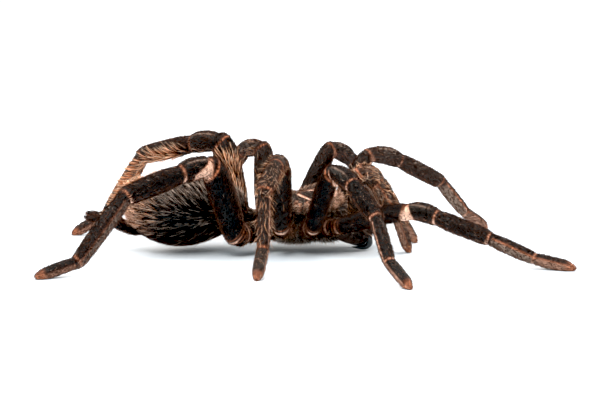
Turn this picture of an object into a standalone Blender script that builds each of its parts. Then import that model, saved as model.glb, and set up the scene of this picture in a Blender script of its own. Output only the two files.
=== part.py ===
"""Still, life-size model of a lesserblack tarantula that stands on its feet.

Metres, +Z up, +X towards the head, +Y to the animal's left. The floor is z = 0
and the origin is below the middle of the footprint. Sizes are of the coat's
outer surface, and places on the body are measured from the carapace's middle.
"""

import math
from random import Random

import bmesh
import bpy
from mathutils import Matrix, Vector
from mathutils.bvhtree import BVHTree

MM = 0.001
GAP = 0.3 * MM
BODY_PLACE = Vector((0.5, 6.8, 0.0)) * MM
WELD = 0.00001 * MM

CARAPACE_LENGTH = 29.4 * MM
CARAPACE_WIDTH = 27.0 * MM
CARAPACE_RIM_Z = 15.2 * MM
CARAPACE_BASE_Z = 14.3 * MM
THORAX_HEIGHT = 5.4 * MM
HEAD_RISE = 3.4 * MM
FOVEA_DEPTH = 0.8 * MM

EYE_MOUND_X = 10.6
EYE_MOUND_SIZE = (1.5, 1.8, 1.3)

STERNUM_SIZE = (13.5, 9.5, 6.6)
STERNUM_Z = 9.2
HEAD_FRONT_X = 14.6
LEG_COXA_RADIUS = 3.5
PALP_COXA_RADIUS = 2.3
TROCHANTER_LENGTH = 3.8

ABDOMEN_CENTRE = (-39.4, 0.0, 15.2)
ABDOMEN_SIZE = (22.0, 16.2, 13.8)
WAIST_RADIUS = 2.4
WAIST_X = -14.9

CHELICERA_CENTRE = (17.6, 3.66, 9.5)
CHELICERA_SIZE = (8.4, 3.3, 7.2)
CHELICERA_TILT = 30
FANG_SEAT = (24.0, 4.6)
FANG_SEAT_TILT = 60

TIP_HEIGHT = 1.2
LEG_RADII = {
    "leg_1": {"femur": 3.2, "patella": 3.3, "tibia": 3.0, "metatarsus": 2.5, "tarsus": 2.25},
    "leg_2": {"femur": 3.3, "patella": 3.25, "tibia": 2.9, "metatarsus": 2.4, "tarsus": 2.15},
    "leg_3": {"femur": 3.6, "patella": 3.25, "tibia": 3.15, "metatarsus": 2.4, "tarsus": 2.15},
    "leg_4": {"femur": 4.6, "patella": 3.9, "tibia": 3.6, "metatarsus": 3.0, "tarsus": 2.2},
}
PALP_RADIUS = {"femur": 2.45, "patella": 2.7, "tibia": 2.7, "tarsus": 2.05}

# How far the middle of a segment is arched up.
ARCH = {"femur": 0.4, "patella": 0.8}

# Along each segment: the share of its length, and the share of its full radius.
SEGMENT_SHAPE = {
    "femur": ((0.0, 0.84), (0.3, 1.0), (0.62, 1.02), (0.84, 0.96), (1.0, 0.86)),
    "patella": ((0.0, 0.76), (0.3, 0.96), (0.7, 1.04), (1.0, 0.88)),
    "tibia": ((0.0, 0.88), (0.28, 1.03), (0.72, 0.99), (1.0, 0.86)),
    "metatarsus": ((0.0, 0.95), (0.3, 1.02), (0.75, 0.98), (1.0, 0.92)),
    "tarsus": ((0.0, 0.96), (0.35, 1.05), (0.75, 1.03), (0.94, 0.9), (1.0, 0.62)),
}

# For each leg: its hip, then length, heading and pitch in degrees of each
# segment. The tarsus has no pitch: it leans down to the floor.
LEGS = {
    "leg_1_right": ((12.1, -13.7, 9.9),
                    ((24.8, -19.5, 15), (14.2, -52.5, -2), (18.4, -15.5, -20.5), (16.6, -22, -21.5), (12.4, -24.5))),
    "leg_2_right": ((3.2, -18.2, 10.2),
                    ((24.8, -67.5, 57), (13.8, -64, -11.5), (16.6, -64, -31.5), (16.6, -73.5, -50), (12.6, -64.5))),
    "leg_3_right": ((-7.6, -18.2, 10.3),
                    ((21.7, -91.5, 81.5), (13.1, -101.5, 8), (14.7, -108.5, -24.5), (18.9, -115, -85.5), (12.5, -103.5))),
    "leg_4_right": ((-23.2, -15.2, 7.7),
                    ((26.2, -138.5, 67.5), (12.5, -147.5, -6), (20.7, -154, -16.5), (26.6, -153.5, -49.5), (13.7, -153.5))),
    "leg_1_left": ((13.2, 14.1, 10.2),
                   ((24.8, 17.5, 57.5), (14.2, 30.5, -11.5), (18.4, 13, -27.5), (16.6, 26, -47.5), (12.4, 36))),
    "leg_2_left": ((1.4, 18.1, 11.3),
                   ((24.8, 26.5, 60), (13.8, 50.5, -20), (16.6, 55.5, -29.5), (16.6, 58, -58), (12.6, 52.5))),
    "leg_3_left": ((-11.7, 18.2, 11.6),
                   ((21.7, 87.5, 78.5), (13.1, 122, -6), (14.7, 123.5, -40), (18.9, 127.5, -62), (12.5, 126.5))),
    "leg_4_left": ((-21.0, 14.7, 10.2),
                   ((26.2, 148.5, 76.5), (12.5, 149, -3), (20.7, 153.5, -14), (26.6, 158.5, -57), (13.7, -170))),
}
PALPS = {
    "palp_right": ((18.0, -10.4, 10.0),
                   ((18.6, -69, 81.5), (7.8, 20, -30.5), (12.7, 6, -55), (13.6, 2))),
    "palp_left": ((17.6, 10.35, 10.2),
                  ((18.6, -50.5, 67.5), (7.8, 15, -32), (12.7, 1, -60.5), (13.6, 28))),
}
LEG_SEGMENTS = ("femur", "patella", "tibia", "metatarsus", "tarsus")
PALP_SEGMENTS = ("femur", "patella", "tibia", "tarsus")

# Where each coxa starts, inside the sternum.
COXA_ROOT = {"palp": (7.4, 4.1, 7.6), "leg_1": (5.0, 4.6, 8.2), "leg_2": (2.0, 5.0, 8.0),
             "leg_3": (-4.0, 5.0, 8.0), "leg_4": (-9.0, 4.0, 8.0)}

SPINNERET_ROUTE = ((-52.0, 3.2, 8.4), (-57.0, 3.4, 7.9), (-60.8, 3.6, 8.8),
                   (-64.6, 3.9, 10.8), (-69.0, 4.4, 12.0), (-73.2, 4.8, 12.8), (-74.2, 4.9, 13.0))
SPINNERET_RADII = (1.9, 1.9, 1.8, 1.7, 1.4, 1.0, 0.5)

# A lock is a flat tuft of bristles. Its stations are shares of its length, and
# the widths there are shares of its full width. Its root is sunk in its part.
LOCK_STATIONS = (0.3, 0.68, 1.0)
LOCK_WIDTHS = (0.85, 1.0, 0.72, 0.14)
LOCK_SINK = 1.1 * MM
LOCK_THICKNESS = 0.55 * MM
LOCK_JITTER = 0.22

# The bristly limb parts. The core's share of the full radius, then for each row
# of locks its turn in degrees from straight up towards the body's middle, and
# its first and last place along the part; then locks in a row, length and width
# in millimetres, and the lift of root and tip in degrees. Locks that stand out
# more than EDGE_ON_LIFT are broad along the limb and hang as a fringe.
EDGE_ON_LIFT = 50
BRISTLE_ROWS = {
    "leg_4_femur": (0.9, ((60, 0.42, 0.84), (105, 0.5, 0.86)), 4, 5.0, 2.8, 34, 16),
    "leg_4_patella": (0.95, ((150, 0.25, 0.75),), 3, 4.2, 2.6, 60, 35),
    "leg_4_tibia": (0.78, ((100, 0.08, 0.78), (145, 0.12, 0.84), (190, 0.1, 0.8)), 6, 4.6, 2.9, 66, 46),
    "leg_4_metatarsus": (0.84, ((105, 0.06, 0.72), (160, 0.1, 0.66)), 7, 4.2, 2.7, 58, 34),
    "palp_patella": (0.94, ((-50, 0.2, 0.7), (40, 0.25, 0.7)), 2, 4.0, 2.5, 30, 10),
    "palp_tibia": (0.9, ((-75, 0.1, 0.7), (-20, 0.1, 0.72), (60, 0.12, 0.7)), 4, 4.2, 2.5, 26, 8),
}

# Rings of locks on the abdomen, from front to back: the place along it, how many
# locks, and the part of the turn that they cover, in degrees from the top.
ABDOMEN_ROWS = ((0.62, 7, 95), (0.38, 9, 110), (0.14, 11, 120), (-0.1, 12, 130), (-0.34, 12, 140),
                (-0.57, 11, 145), (-0.77, 8, 125), (-0.91, 5, 110))
ABDOMEN_CORE = 0.96
ABDOMEN_LOCK = (6.2 * MM, 2.6 * MM, 24, 4)


def on_body(x, y, z):
    """A place on the body, from millimetres at the carapace's middle."""
    return BODY_PLACE + Vector((x, y, z)) * MM


def smooth_step(low, high, value):
    """0 below low, 1 above high, and a smooth rise between them."""
    share = min(max((value - low) / (high - low), 0.0), 1.0)
    return share * share * (3.0 - 2.0 * share)


def make_material(name, colour, roughness):
    """A plain finish for one part."""
    material = bpy.data.materials.new(name)
    material.use_nodes = True
    shader = material.node_tree.nodes["Principled BSDF"]
    shader.inputs["Base Color"].default_value = (*colour, 1.0)
    shader.inputs["Roughness"].default_value = roughness
    shader.inputs["Metallic"].default_value = 0.0
    return material


def new_object(name, mesh, collection):
    """An object of the mesh, linked to the collection."""
    thing = bpy.data.objects.new(name, mesh)
    collection.objects.link(thing)
    return thing


def finish_part(thing, material):
    """Give a finished part its material and smooth round faces."""
    thing.data.materials.clear()
    thing.data.materials.append(material)
    thing.data.shade_smooth()
    thing.data.set_sharp_from_angle(angle=math.radians(50))


def tube(name, points, radii, collection, resolution=3):
    """A round tube through the points, closed at both ends."""
    curve = bpy.data.curves.new(name, "CURVE")
    curve.dimensions = "3D"
    curve.bevel_depth = 1.0
    curve.bevel_resolution = resolution
    curve.use_fill_caps = True
    spline = curve.splines.new("POLY")
    spline.points.add(len(points) - 1)
    for knot, point, radius in zip(spline.points, points, radii):
        knot.co = (*point, 1.0)
        knot.radius = radius
    guide = new_object(name + "_guide", curve, collection)
    bpy.context.view_layer.update()
    evaluated = guide.evaluated_get(bpy.context.evaluated_depsgraph_get())
    mesh = bpy.data.meshes.new_from_object(evaluated)
    matrix = guide.matrix_world.copy()
    bpy.data.objects.remove(guide)
    shape = bmesh.new()
    shape.from_mesh(mesh)
    bmesh.ops.remove_doubles(shape, verts=shape.verts, dist=WELD)
    bmesh.ops.recalc_face_normals(shape, faces=shape.faces)
    shape.to_mesh(mesh)
    shape.free()
    mesh.name = name
    thing = new_object(name, mesh, collection)
    thing.matrix_world = matrix
    return thing


def ball(name, place, size, collection, segments=16, rings=8, turn=None):
    """A ball stretched to the three half sizes, turned and placed."""
    shape = bmesh.new()
    stretch = Matrix.Diagonal((*(half * MM for half in size), 1.0))
    turned = turn.to_4x4() if turn else Matrix.Identity(4)
    matrix = Matrix.Translation(place) @ turned @ stretch
    bmesh.ops.create_uvsphere(shape, u_segments=segments, v_segments=rings, radius=1.0, matrix=matrix)
    mesh = bpy.data.meshes.new(name)
    shape.to_mesh(mesh)
    shape.free()
    return new_object(name, mesh, collection)


def cut(thing, point, normal):
    """Take away the side that the normal points to, and close the flat face."""
    shape = bmesh.new()
    shape.from_mesh(thing.data)
    everything = shape.verts[:] + shape.edges[:] + shape.faces[:]
    bmesh.ops.bisect_plane(shape, geom=everything, dist=WELD, plane_co=point, plane_no=normal,
                           clear_outer=True)
    rim = [edge for edge in shape.edges if edge.is_boundary]
    bmesh.ops.holes_fill(shape, edges=rim, sides=0)
    bmesh.ops.recalc_face_normals(shape, faces=shape.faces)
    shape.to_mesh(thing.data)
    shape.free()


def keep_largest(mesh):
    """Keep only the largest closed surface of the mesh."""
    shape = bmesh.new()
    shape.from_mesh(mesh)
    left = set(shape.faces)
    groups = []
    while left:
        start = left.pop()
        group = [start]
        for face in group:
            for edge in face.edges:
                for other in edge.link_faces:
                    if other in left:
                        left.discard(other)
                        group.append(other)
        groups.append(group)
    groups.sort(key=lambda group: sum(face.calc_area() for face in group))
    loose = [face for group in groups[:-1] for face in group]
    bmesh.ops.delete(shape, geom=loose, context="FACES")
    shape.to_mesh(mesh)
    shape.free()


def fuse(thing, pieces, home):
    """Join the pieces to the thing as one closed body."""
    group = bpy.data.collections.new(thing.name + "_pieces")
    home.children.link(group)
    for piece in pieces:
        group.objects.link(piece)
    union = thing.modifiers.new("union", "BOOLEAN")
    union.operation = "UNION"
    union.operand_type = "COLLECTION"
    union.solver = "EXACT"
    union.collection = group
    bpy.context.view_layer.update()
    evaluated = thing.evaluated_get(bpy.context.evaluated_depsgraph_get())
    mesh = bpy.data.meshes.new_from_object(evaluated)
    thing.modifiers.remove(union)
    thing.data = mesh
    for piece in pieces:
        bpy.data.objects.remove(piece)
    bpy.data.collections.remove(group)
    keep_largest(mesh)


def make_lock(root, outward, along, length, width, lift, tip_lift, home):
    """A flat tapered lock that leaves its root at one lift and bends to another."""
    shares = (-LOCK_SINK / length,) + LOCK_STATIONS
    spine = [Vector((share * length, 0.0, 0.0)) for share in shares]
    lock = tube("lock", spine, [share * width / 2 for share in LOCK_WIDTHS], home, 0)
    start = math.radians(lift)
    bend = (start - math.radians(tip_lift)) / length
    across = along.cross(outward).normalized()
    for corner in lock.data.vertices:
        reach, aside, above = corner.co
        angle = start - bend * reach
        forward = (math.sin(start) - math.sin(angle)) / bend
        rise = (math.cos(angle) - math.cos(start)) / bend
        flat = above * LOCK_THICKNESS / width
        if lift > EDGE_ON_LIFT:
            aside, flat = flat, aside
        corner.co = (root + along * (forward - flat * math.sin(angle)) + across * aside
                     + outward * (rise + flat * math.cos(angle)))
    return lock


def bristle_locks(kind, start, end, side, segment, home, random):
    """The locks along one limb part, in rows that face the body's middle."""
    rows, count, length, width, lift, tip_lift = BRISTLE_ROWS[kind][1:]
    axis = (end - start).normalized()
    up = Vector((0.0, 0.0, 1.0)) - axis * axis.z
    if kind == "leg_4_femur":
        up = Vector((-1.0, 0.0, 0.0)) + axis * axis.x
    up.normalize()
    inward = axis.cross(up)
    if inward.y * side > 0.0:
        inward.negate()
    tree = surface_tree(segment)
    locks = []
    for turn, first, last in rows:
        for index in range(count):
            share = first + (last - first) * (index + random.uniform(0.2, 0.8)) / count
            angle = math.radians(turn + random.uniform(-14.0, 14.0))
            outward = up * math.cos(angle) + inward * math.sin(angle)
            root = tree.ray_cast(start.lerp(end, share), outward)[0]
            size = 1.0 + random.uniform(-LOCK_JITTER, LOCK_JITTER)
            locks.append(make_lock(root, outward, axis, length * size * MM, width * MM, lift, tip_lift, home))
    return locks


def direction(heading, pitch):
    """The unit vector of a heading and a pitch, both in degrees."""
    turn = math.radians(heading)
    rise = math.radians(pitch)
    return Vector((math.cos(turn) * math.cos(rise), math.sin(turn) * math.cos(rise), math.sin(rise)))


def limb_joints(hip, segments):
    """The joints of a limb, from its hip to the tip that rests on the floor."""
    joints = [on_body(*hip)]
    for length, heading, pitch in segments[:-1]:
        joints.append(joints[-1] + direction(heading, pitch) * length * MM)
    length, heading = segments[-1]
    drop = (joints[-1].z / MM - TIP_HEIGHT) / length
    joints.append(joints[-1] + direction(heading, -math.degrees(math.asin(drop))) * length * MM)
    return joints


def limb_segment(name, start, end, shape, radius, arch, start_cut, end_cut, home, sides, lead=None):
    """One segment with round ends, cut flat where it meets its neighbours."""
    axis = (end - start).normalized()
    length = (end - start).length
    points = []
    radii = []
    if lead:
        points.append(lead)
        radii.append(0.8 * radius)
    else:
        points += [start - axis * 0.95 * radius, start - axis * 0.6 * radius]
        radii += [0.3 * radius, 0.72 * radius]
    for share, size in shape:
        points.append(start + axis * length * share + arch * 4.0 * share * (1.0 - share))
        radii.append(size * radius)
    if end_cut:
        points += [end + axis * 0.6 * radius, end + axis * 0.9 * radius]
        radii += [0.72 * radius, 0.3 * radius]
    segment = tube(name, points, radii, home, sides)
    if start_cut:
        cut(segment, start + start_cut * GAP / 2, -start_cut)
    if end_cut:
        cut(segment, end - end_cut * GAP / 2, end_cut)
    return segment


def make_limb(name, hip, segments, names, radii, materials, home, random):
    """The segments of one leg or palp, from the trochanter to the foot."""
    joints = limb_joints(hip, segments)
    headings = [(end - start).normalized() for start, end in zip(joints, joints[1:])]
    side = 1 if hip[1] > 0 else -1
    kind = "palp" if name.startswith("palp") else name[:5]
    root_x, root_y, root_z = COXA_ROOT[kind]
    root = on_body(root_x, root_y * side, root_z)
    reach = (joints[0] - root).normalized()
    trochanter = joints[0] - reach * TROCHANTER_LENGTH * MM
    last = len(names) - 1
    for index, part in enumerate(names):
        start, end = joints[index], joints[index + 1]
        start_cut = (headings[index - 1] + headings[index]).normalized() if index else None
        end_cut = (headings[index] + headings[index + 1]).normalized() if index < last else None
        lead = trochanter + reach * GAP / 2 if index == 0 else None
        bristly = kind + "_" + part
        core = BRISTLE_ROWS[bristly][0] if bristly in BRISTLE_ROWS else 1.0
        back = Vector((0.0, 0.0, 1.0)) - headings[index] * headings[index].z
        arch = back.normalized() * ARCH.get(part, 0.0) * MM
        segment = limb_segment(name + "_" + part, start, end, SEGMENT_SHAPE[part], radii[part] * core * MM,
                               arch, start_cut, end_cut, home, 3 if index < 3 else 2, lead)
        if bristly in BRISTLE_ROWS:
            fuse(segment, bristle_locks(bristly, start, end, side, segment, home, random), home)
        if index == last:
            cut(segment, Vector((0.0, 0.0, 0.0)), Vector((0.0, 0.0, -1.0)))
        finish_part(segment, materials[part])
    return root, trochanter - reach * GAP / 2


def carapace_point(ball_point):
    """Where a point of the unit ball lies on the carapace."""
    x, y, z = ball_point
    blunt = 1.25 * x - 0.25 * x ** 3
    half_width = CARAPACE_WIDTH / 2 * (1.0 - 0.3 * smooth_step(0.0, 0.9, x))
    head = smooth_step(-0.15, 0.5, x) * (1.0 - smooth_step(0.3, 0.85, abs(y)))
    fovea = math.exp(-((x + 0.12) / 0.09) ** 2 - (y / 0.2) ** 2)
    height = THORAX_HEIGHT + HEAD_RISE * head - FOVEA_DEPTH * fovea
    if z > 0.0:
        rise = height * z ** 0.65
    else:
        rise = 2.0 * MM * z
    return BODY_PLACE + Vector((CARAPACE_LENGTH / 2 * blunt, half_width * y, CARAPACE_RIM_Z + rise))


def make_carapace(material, home):
    """The domed shield over the front body, with its raised head."""
    shape = bmesh.new()
    bmesh.ops.create_uvsphere(shape, u_segments=32, v_segments=16, radius=1.0)
    for corner in shape.verts:
        corner.co = carapace_point(corner.co)
    mesh = bpy.data.meshes.new("carapace")
    shape.to_mesh(mesh)
    shape.free()
    carapace = new_object("carapace", mesh, home)
    cut(carapace, Vector((0.0, 0.0, CARAPACE_BASE_Z)), Vector((0.0, 0.0, -1.0)))
    finish_part(carapace, material)
    return carapace


def height_above(tree, point):
    """The height of the surface straight below or above the point."""
    sky = Vector((point.x, point.y, 1.0))
    return tree.ray_cast(sky, Vector((0.0, 0.0, -1.0)))[0].z


def surface_tree(thing):
    """A search tree of the object's surface."""
    thing.data.calc_loop_triangles()
    corners = [vertex.co for vertex in thing.data.vertices]
    faces = [tuple(triangle.vertices) for triangle in thing.data.loop_triangles]
    return BVHTree.FromPolygons(corners, faces)


def make_eyes(carapace, material, home):
    """The mound on the head that carries the eight eyes."""
    tree = surface_tree(carapace)
    place = on_body(EYE_MOUND_X, 0.0, 0.0)
    place.z = height_above(tree, place) + 0.2 * MM
    mound = ball("eye_tubercle", place, EYE_MOUND_SIZE, home, 14, 8)
    for corner in mound.data.vertices:
        seat = height_above(tree, corner.co) + GAP
        corner.co.z = max(corner.co.z, seat)
    eyes = []
    for side in (-1, 1):
        for forward, across, up, radius in ((0.75, 0.45, 0.95, 0.42), (1.0, 1.15, 0.55, 0.36),
                                            (-0.35, 1.25, 0.75, 0.34), (-0.45, 0.72, 1.0, 0.28)):
            spot = place + Vector((forward, across * side, up)) * MM
            eyes.append(ball("eye", spot, (radius, radius, radius), home, 6, 4))
    fuse(mound, eyes, home)
    finish_part(mound, material)


def make_sternum(coxae, material, home):
    """The underside of the front body with all the coxae and the head's front."""
    sternum = ball("sternum", on_body(-1.0, 0.0, STERNUM_Z), STERNUM_SIZE, home, 24, 12)
    pieces = [
        ball("head_front", on_body(9.5, 0.0, 10.8), (7.6, 7.2, 4.4), home, 16, 8),
        ball("mouth_parts", on_body(9.6, 0.0, 8.2), (8.5, 5.8, 5.2), home, 16, 8),
        tube("waist_front", [on_body(-8.0, 0.0, 10.4), on_body(WAIST_X, 0.0, 10.8)],
             [WAIST_RADIUS * MM] * 2, home),
    ]
    for name, (root, end) in coxae.items():
        radius = (PALP_COXA_RADIUS if name.startswith("palp") else LEG_COXA_RADIUS) * MM
        middle = root.lerp(end, 0.55)
        pieces.append(tube(name + "_coxa", [root, middle, end], [0.8 * radius, radius, 0.9 * radius], home))
    fuse(sternum, pieces, home)
    cut(sternum, on_body(HEAD_FRONT_X, 0.0, 0.0), Vector((1.0, 0.0, 0.0)))
    cut(sternum, Vector((0.0, 0.0, CARAPACE_BASE_Z - GAP)), Vector((0.0, 0.0, 1.0)))
    finish_part(sternum, material)


def abdomen_locks(abdomen, home, random):
    """The long bristles over the abdomen, which lie towards its rear."""
    tree = surface_tree(abdomen)
    length, width, lift, tip_lift = ABDOMEN_LOCK
    centre = on_body(*ABDOMEN_CENTRE)
    locks = []
    for place, count, cover in ABDOMEN_ROWS:
        for index in range(count):
            turn = math.radians(cover * (2.0 * (index + random.uniform(0.25, 0.75)) / count - 1.0))
            station = centre + Vector((ABDOMEN_SIZE[0] * MM * place * ABDOMEN_CORE, 0.0, 0.0))
            ray = Vector((0.0, math.sin(turn), math.cos(turn)))
            root, outward, _, _ = tree.ray_cast(station, ray)
            along = Vector((-1.0, 0.0, 0.0))
            along -= outward * along.dot(outward)
            along.normalize()
            size = 1.0 + random.uniform(-LOCK_JITTER, LOCK_JITTER)
            locks.append(make_lock(root, outward, along, length * size, width, lift, tip_lift, home))
    return locks


def make_abdomen(material, home, random):
    """The egg-shaped rear body, with the narrow waist that carries it."""
    shape = bmesh.new()
    bmesh.ops.create_uvsphere(shape, u_segments=28, v_segments=16, radius=1.0)
    bmesh.ops.rotate(shape, verts=shape.verts, matrix=Matrix.Rotation(math.radians(90), 3, "Y"))
    length, width, height = (half * ABDOMEN_CORE * MM for half in ABDOMEN_SIZE)
    for corner in shape.verts:
        x, y, z = corner.co
        narrow = 1.0 - 0.2 * smooth_step(-0.3, 1.0, x)
        corner.co = on_body(*ABDOMEN_CENTRE) + Vector((length * x, width * narrow * y, height * narrow * z))
    mesh = bpy.data.meshes.new("abdomen")
    shape.to_mesh(mesh)
    shape.free()
    abdomen = new_object("abdomen", mesh, home)
    locks = abdomen_locks(abdomen, home, random)
    waist = tube("waist_rear", [on_body(WAIST_X, 0.0, 10.8) - Vector((GAP, 0.0, 0.0)), on_body(-21.5, 0.0, 11.8)],
                 [WAIST_RADIUS * MM] * 2, home)
    fuse(abdomen, [waist] + locks, home)
    finish_part(abdomen, material)
    return abdomen


def make_chelicera(side_name, side, material, fang_material, home):
    """One jaw with its fang folded back below it."""
    x, y, z = CHELICERA_CENTRE
    tilt = Matrix.Rotation(math.radians(CHELICERA_TILT), 3, "Y")
    jaw = ball("chelicera_" + side_name, on_body(x, y * side, z), CHELICERA_SIZE, home, 18, 12, tilt)
    cut(jaw, on_body(HEAD_FRONT_X, 0.0, 0.0) + Vector((GAP, 0.0, 0.0)), Vector((-1.0, 0.0, 0.0)))
    seat_x, seat_z = FANG_SEAT
    out = direction(0, -FANG_SEAT_TILT)
    seat = on_body(seat_x, y * side, seat_z)
    cut(jaw, seat, out)
    finish_part(jaw, material)
    route = [seat + out * GAP, seat + out * 1.4 * MM]
    for bend_x, bend_y, bend_z in ((24.5, y, 1.5), (22.9, y - 0.1, 0.95), (20.4, y - 0.3, 0.9),
                                   (17.9, y - 0.5, 1.1)):
        route.append(on_body(bend_x, bend_y * side, bend_z))
    thickness = (1.35, 1.2, 0.95, 0.85, 0.65, 0.3)
    fang = tube("fang_" + side_name, route, [radius * MM for radius in thickness], home, 2)
    finish_part(fang, fang_material)


def make_spinneret(side_name, side, abdomen, material, home):
    """One long jointed spinneret, curved up behind the abdomen."""
    route = [on_body(x, y * side, z) for x, y, z in SPINNERET_ROUTE]
    spinneret = tube("spinneret_" + side_name, route, [radius * MM for radius in SPINNERET_RADII], home, 2)
    tree = surface_tree(abdomen)
    start, onward = route[0], (route[1] - route[0]).normalized()
    meet, normal, _, _ = tree.ray_cast(start, onward)
    cut(spinneret, meet + normal * GAP, -normal)
    finish_part(spinneret, material)


def build():
    """Clear the scene and make every part."""
    for old in list(bpy.data.objects):
        bpy.data.objects.remove(old)
    home = bpy.data.collections.new("tarantula")
    bpy.context.scene.collection.children.link(home)

    shell = make_material("carapace_hair", (0.045, 0.030, 0.024), 0.75)
    eye = make_material("eye_gloss", (0.010, 0.008, 0.008), 0.15)
    underside = make_material("underside_hair", (0.020, 0.013, 0.010), 0.85)
    belly = make_material("abdomen_bristle", (0.060, 0.032, 0.020), 0.85)
    jaw = make_material("jaw_shell", (0.020, 0.012, 0.010), 0.45)
    fang = make_material("fang_shell", (0.010, 0.006, 0.005), 0.2)
    spinner = make_material("spinneret_hair", (0.050, 0.030, 0.022), 0.8)
    limb = {
        "femur": make_material("femur_hair", (0.022, 0.014, 0.011), 0.8),
        "patella": make_material("patella_hair", (0.050, 0.033, 0.026), 0.8),
        "tibia": make_material("tibia_hair", (0.042, 0.028, 0.022), 0.8),
        "metatarsus": make_material("metatarsus_hair", (0.060, 0.040, 0.030), 0.8),
        "tarsus": make_material("tarsus_hair", (0.080, 0.045, 0.032), 0.85),
    }

    random = Random(11)
    coxae = {}
    for name, (hip, segments) in LEGS.items():
        coxae[name] = make_limb(name, hip, segments, LEG_SEGMENTS, LEG_RADII[name[:5]], limb, home, random)
    for name, (hip, segments) in PALPS.items():
        coxae[name] = make_limb(name, hip, segments, PALP_SEGMENTS, PALP_RADIUS, limb, home, random)

    carapace = make_carapace(shell, home)
    make_eyes(carapace, eye, home)
    make_sternum(coxae, underside, home)
    abdomen = make_abdomen(belly, home, random)
    for side_name, side in (("left", 1), ("right", -1)):
        make_chelicera(side_name, side, jaw, fang, home)
        make_spinneret(side_name, side, abdomen, spinner, home)


build()
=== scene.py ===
import math

import bpy
import numpy as np
from mathutils import Matrix, Vector


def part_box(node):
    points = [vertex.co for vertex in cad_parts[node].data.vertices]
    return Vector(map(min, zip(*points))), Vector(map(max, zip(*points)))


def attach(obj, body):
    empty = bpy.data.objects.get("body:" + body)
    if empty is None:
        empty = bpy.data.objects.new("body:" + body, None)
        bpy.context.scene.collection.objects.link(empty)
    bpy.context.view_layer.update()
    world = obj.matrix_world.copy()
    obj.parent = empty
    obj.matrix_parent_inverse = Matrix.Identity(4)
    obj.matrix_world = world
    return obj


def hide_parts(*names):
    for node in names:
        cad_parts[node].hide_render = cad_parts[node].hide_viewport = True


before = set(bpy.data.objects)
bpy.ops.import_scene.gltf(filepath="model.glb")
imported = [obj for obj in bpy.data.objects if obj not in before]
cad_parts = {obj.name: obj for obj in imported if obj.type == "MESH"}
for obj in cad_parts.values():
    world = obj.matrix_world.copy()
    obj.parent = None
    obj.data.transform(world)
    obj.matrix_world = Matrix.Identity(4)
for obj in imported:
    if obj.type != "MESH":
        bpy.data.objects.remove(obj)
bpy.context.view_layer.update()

# The studio.
# The model stands on a matt white sheet under a white sky. Two wide soft boxes stand
# behind it, left and right, and light the rims of its fur. A third hangs high in front.
MM = 0.001


def hex_colour(code):
    """A hex sRGB colour as the linear red, green, blue and alpha that sockets take."""
    shares = [int(code[place:place + 2], 16) / 255 for place in (1, 3, 5)]
    return [s / 12.92 if s <= 0.04045 else ((s + 0.055) / 1.055) ** 2.4 for s in shares] + [1.0]


def add_node(tree, kind, settings=None, links=None):
    """Adds a node. Settings are its properties and values, links the outputs that feed it."""
    node = tree.nodes.new("ShaderNode" + kind)
    for name, value in (settings or {}).items():
        if hasattr(node, str(name)):
            setattr(node, name, value)
        else:
            node.inputs[name].default_value = value
    for name, source in (links or {}).items():
        tree.links.new(source, node.inputs[name])
    return node


def new_material(name):
    """An empty node material, its tree and its output node."""
    material = bpy.data.materials.new(name)
    material.use_nodes = True
    tree = material.node_tree
    tree.nodes.clear()
    return material, tree, tree.nodes.new("ShaderNodeOutputMaterial")


scene = bpy.context.scene
scene.view_settings.view_transform = "Standard"
scene.view_settings.look = "None"
# The darkest tones are printed black, as in a contrasty studio print.
PRINT_BLACK = (0.019, 0.0155, 0.0145)
scene.view_settings.use_curve_mapping = True
tone = scene.view_settings.curve_mapping
tone.black_level = PRINT_BLACK
tone.update()

# A long lens, 58 cm in front of the model, that looks a little down on it.
CAMERA_PLACE = (-39.7 * MM, -580.1 * MM, 100.4 * MM)
CAMERA_DOWN = 8.16
CAMERA_YAW = -4.13
CAMERA_LENS = 100
CAMERA_SENSOR = 36
camera_data = bpy.data.cameras.new("camera")
camera_data.lens = CAMERA_LENS
camera_data.sensor_width = CAMERA_SENSOR
camera_data.clip_start = 0.01
camera = bpy.data.objects.new("camera", camera_data)
camera.location = CAMERA_PLACE
camera.rotation_euler = (math.radians(90 - CAMERA_DOWN), 0.0, math.radians(CAMERA_YAW))
scene.collection.objects.link(camera)
scene.camera = camera

# Matt white paper: no gloss, so that it shows only soft shadows.
PAPER_COLOUR = "#E6F1FA"
SHEET_SIZE = 60.0
paper, tree, output = new_material("matt_white_paper")
surface = add_node(tree, "BsdfPrincipled", {"Base Color": hex_colour(PAPER_COLOUR), "Roughness": 0.9,
                                            "Specular IOR Level": 0.1})
tree.links.new(surface.outputs[0], output.inputs[0])
bpy.ops.object.select_all(action="DESELECT")
bpy.ops.mesh.primitive_plane_add(size=SHEET_SIZE, location=(0.0, 0.0, 0.0))
floor = bpy.context.object
floor.name = "floor"
floor.data.materials.append(paper)

# The sky is brightest overhead and dim behind the camera, as under a wide overhead soft box:
# its brightness at the horizon and overhead, and what the side behind the camera keeps.
SKY = "#FFFFFF"
SKY_STRENGTH = 1.28
SKY_HORIZON = 0.2
SKY_OVERHEAD = 1.8
SKY_BEHIND_CAMERA = 0.5
world = bpy.data.worlds.new("white_sky")
scene.world = world
world.use_nodes = True
sky_tree = world.node_tree
way = add_node(sky_tree, "TexCoord")
parts = add_node(sky_tree, "SeparateXYZ", links={0: way.outputs["Generated"]})
height = add_node(sky_tree, "MapRange",
                  {"From Max": 1.0, "To Min": SKY_HORIZON, "To Max": SKY_OVERHEAD}, {0: parts.outputs[2]})
behind = add_node(sky_tree, "MapRange",
                  {"From Min": -0.9, "From Max": 0.3, "To Min": SKY_BEHIND_CAMERA, "To Max": 1.0},
                  {0: parts.outputs[1]})
both = add_node(sky_tree, "Math", {"operation": "MULTIPLY"}, {0: height.outputs[0], 1: behind.outputs[0]})
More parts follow.
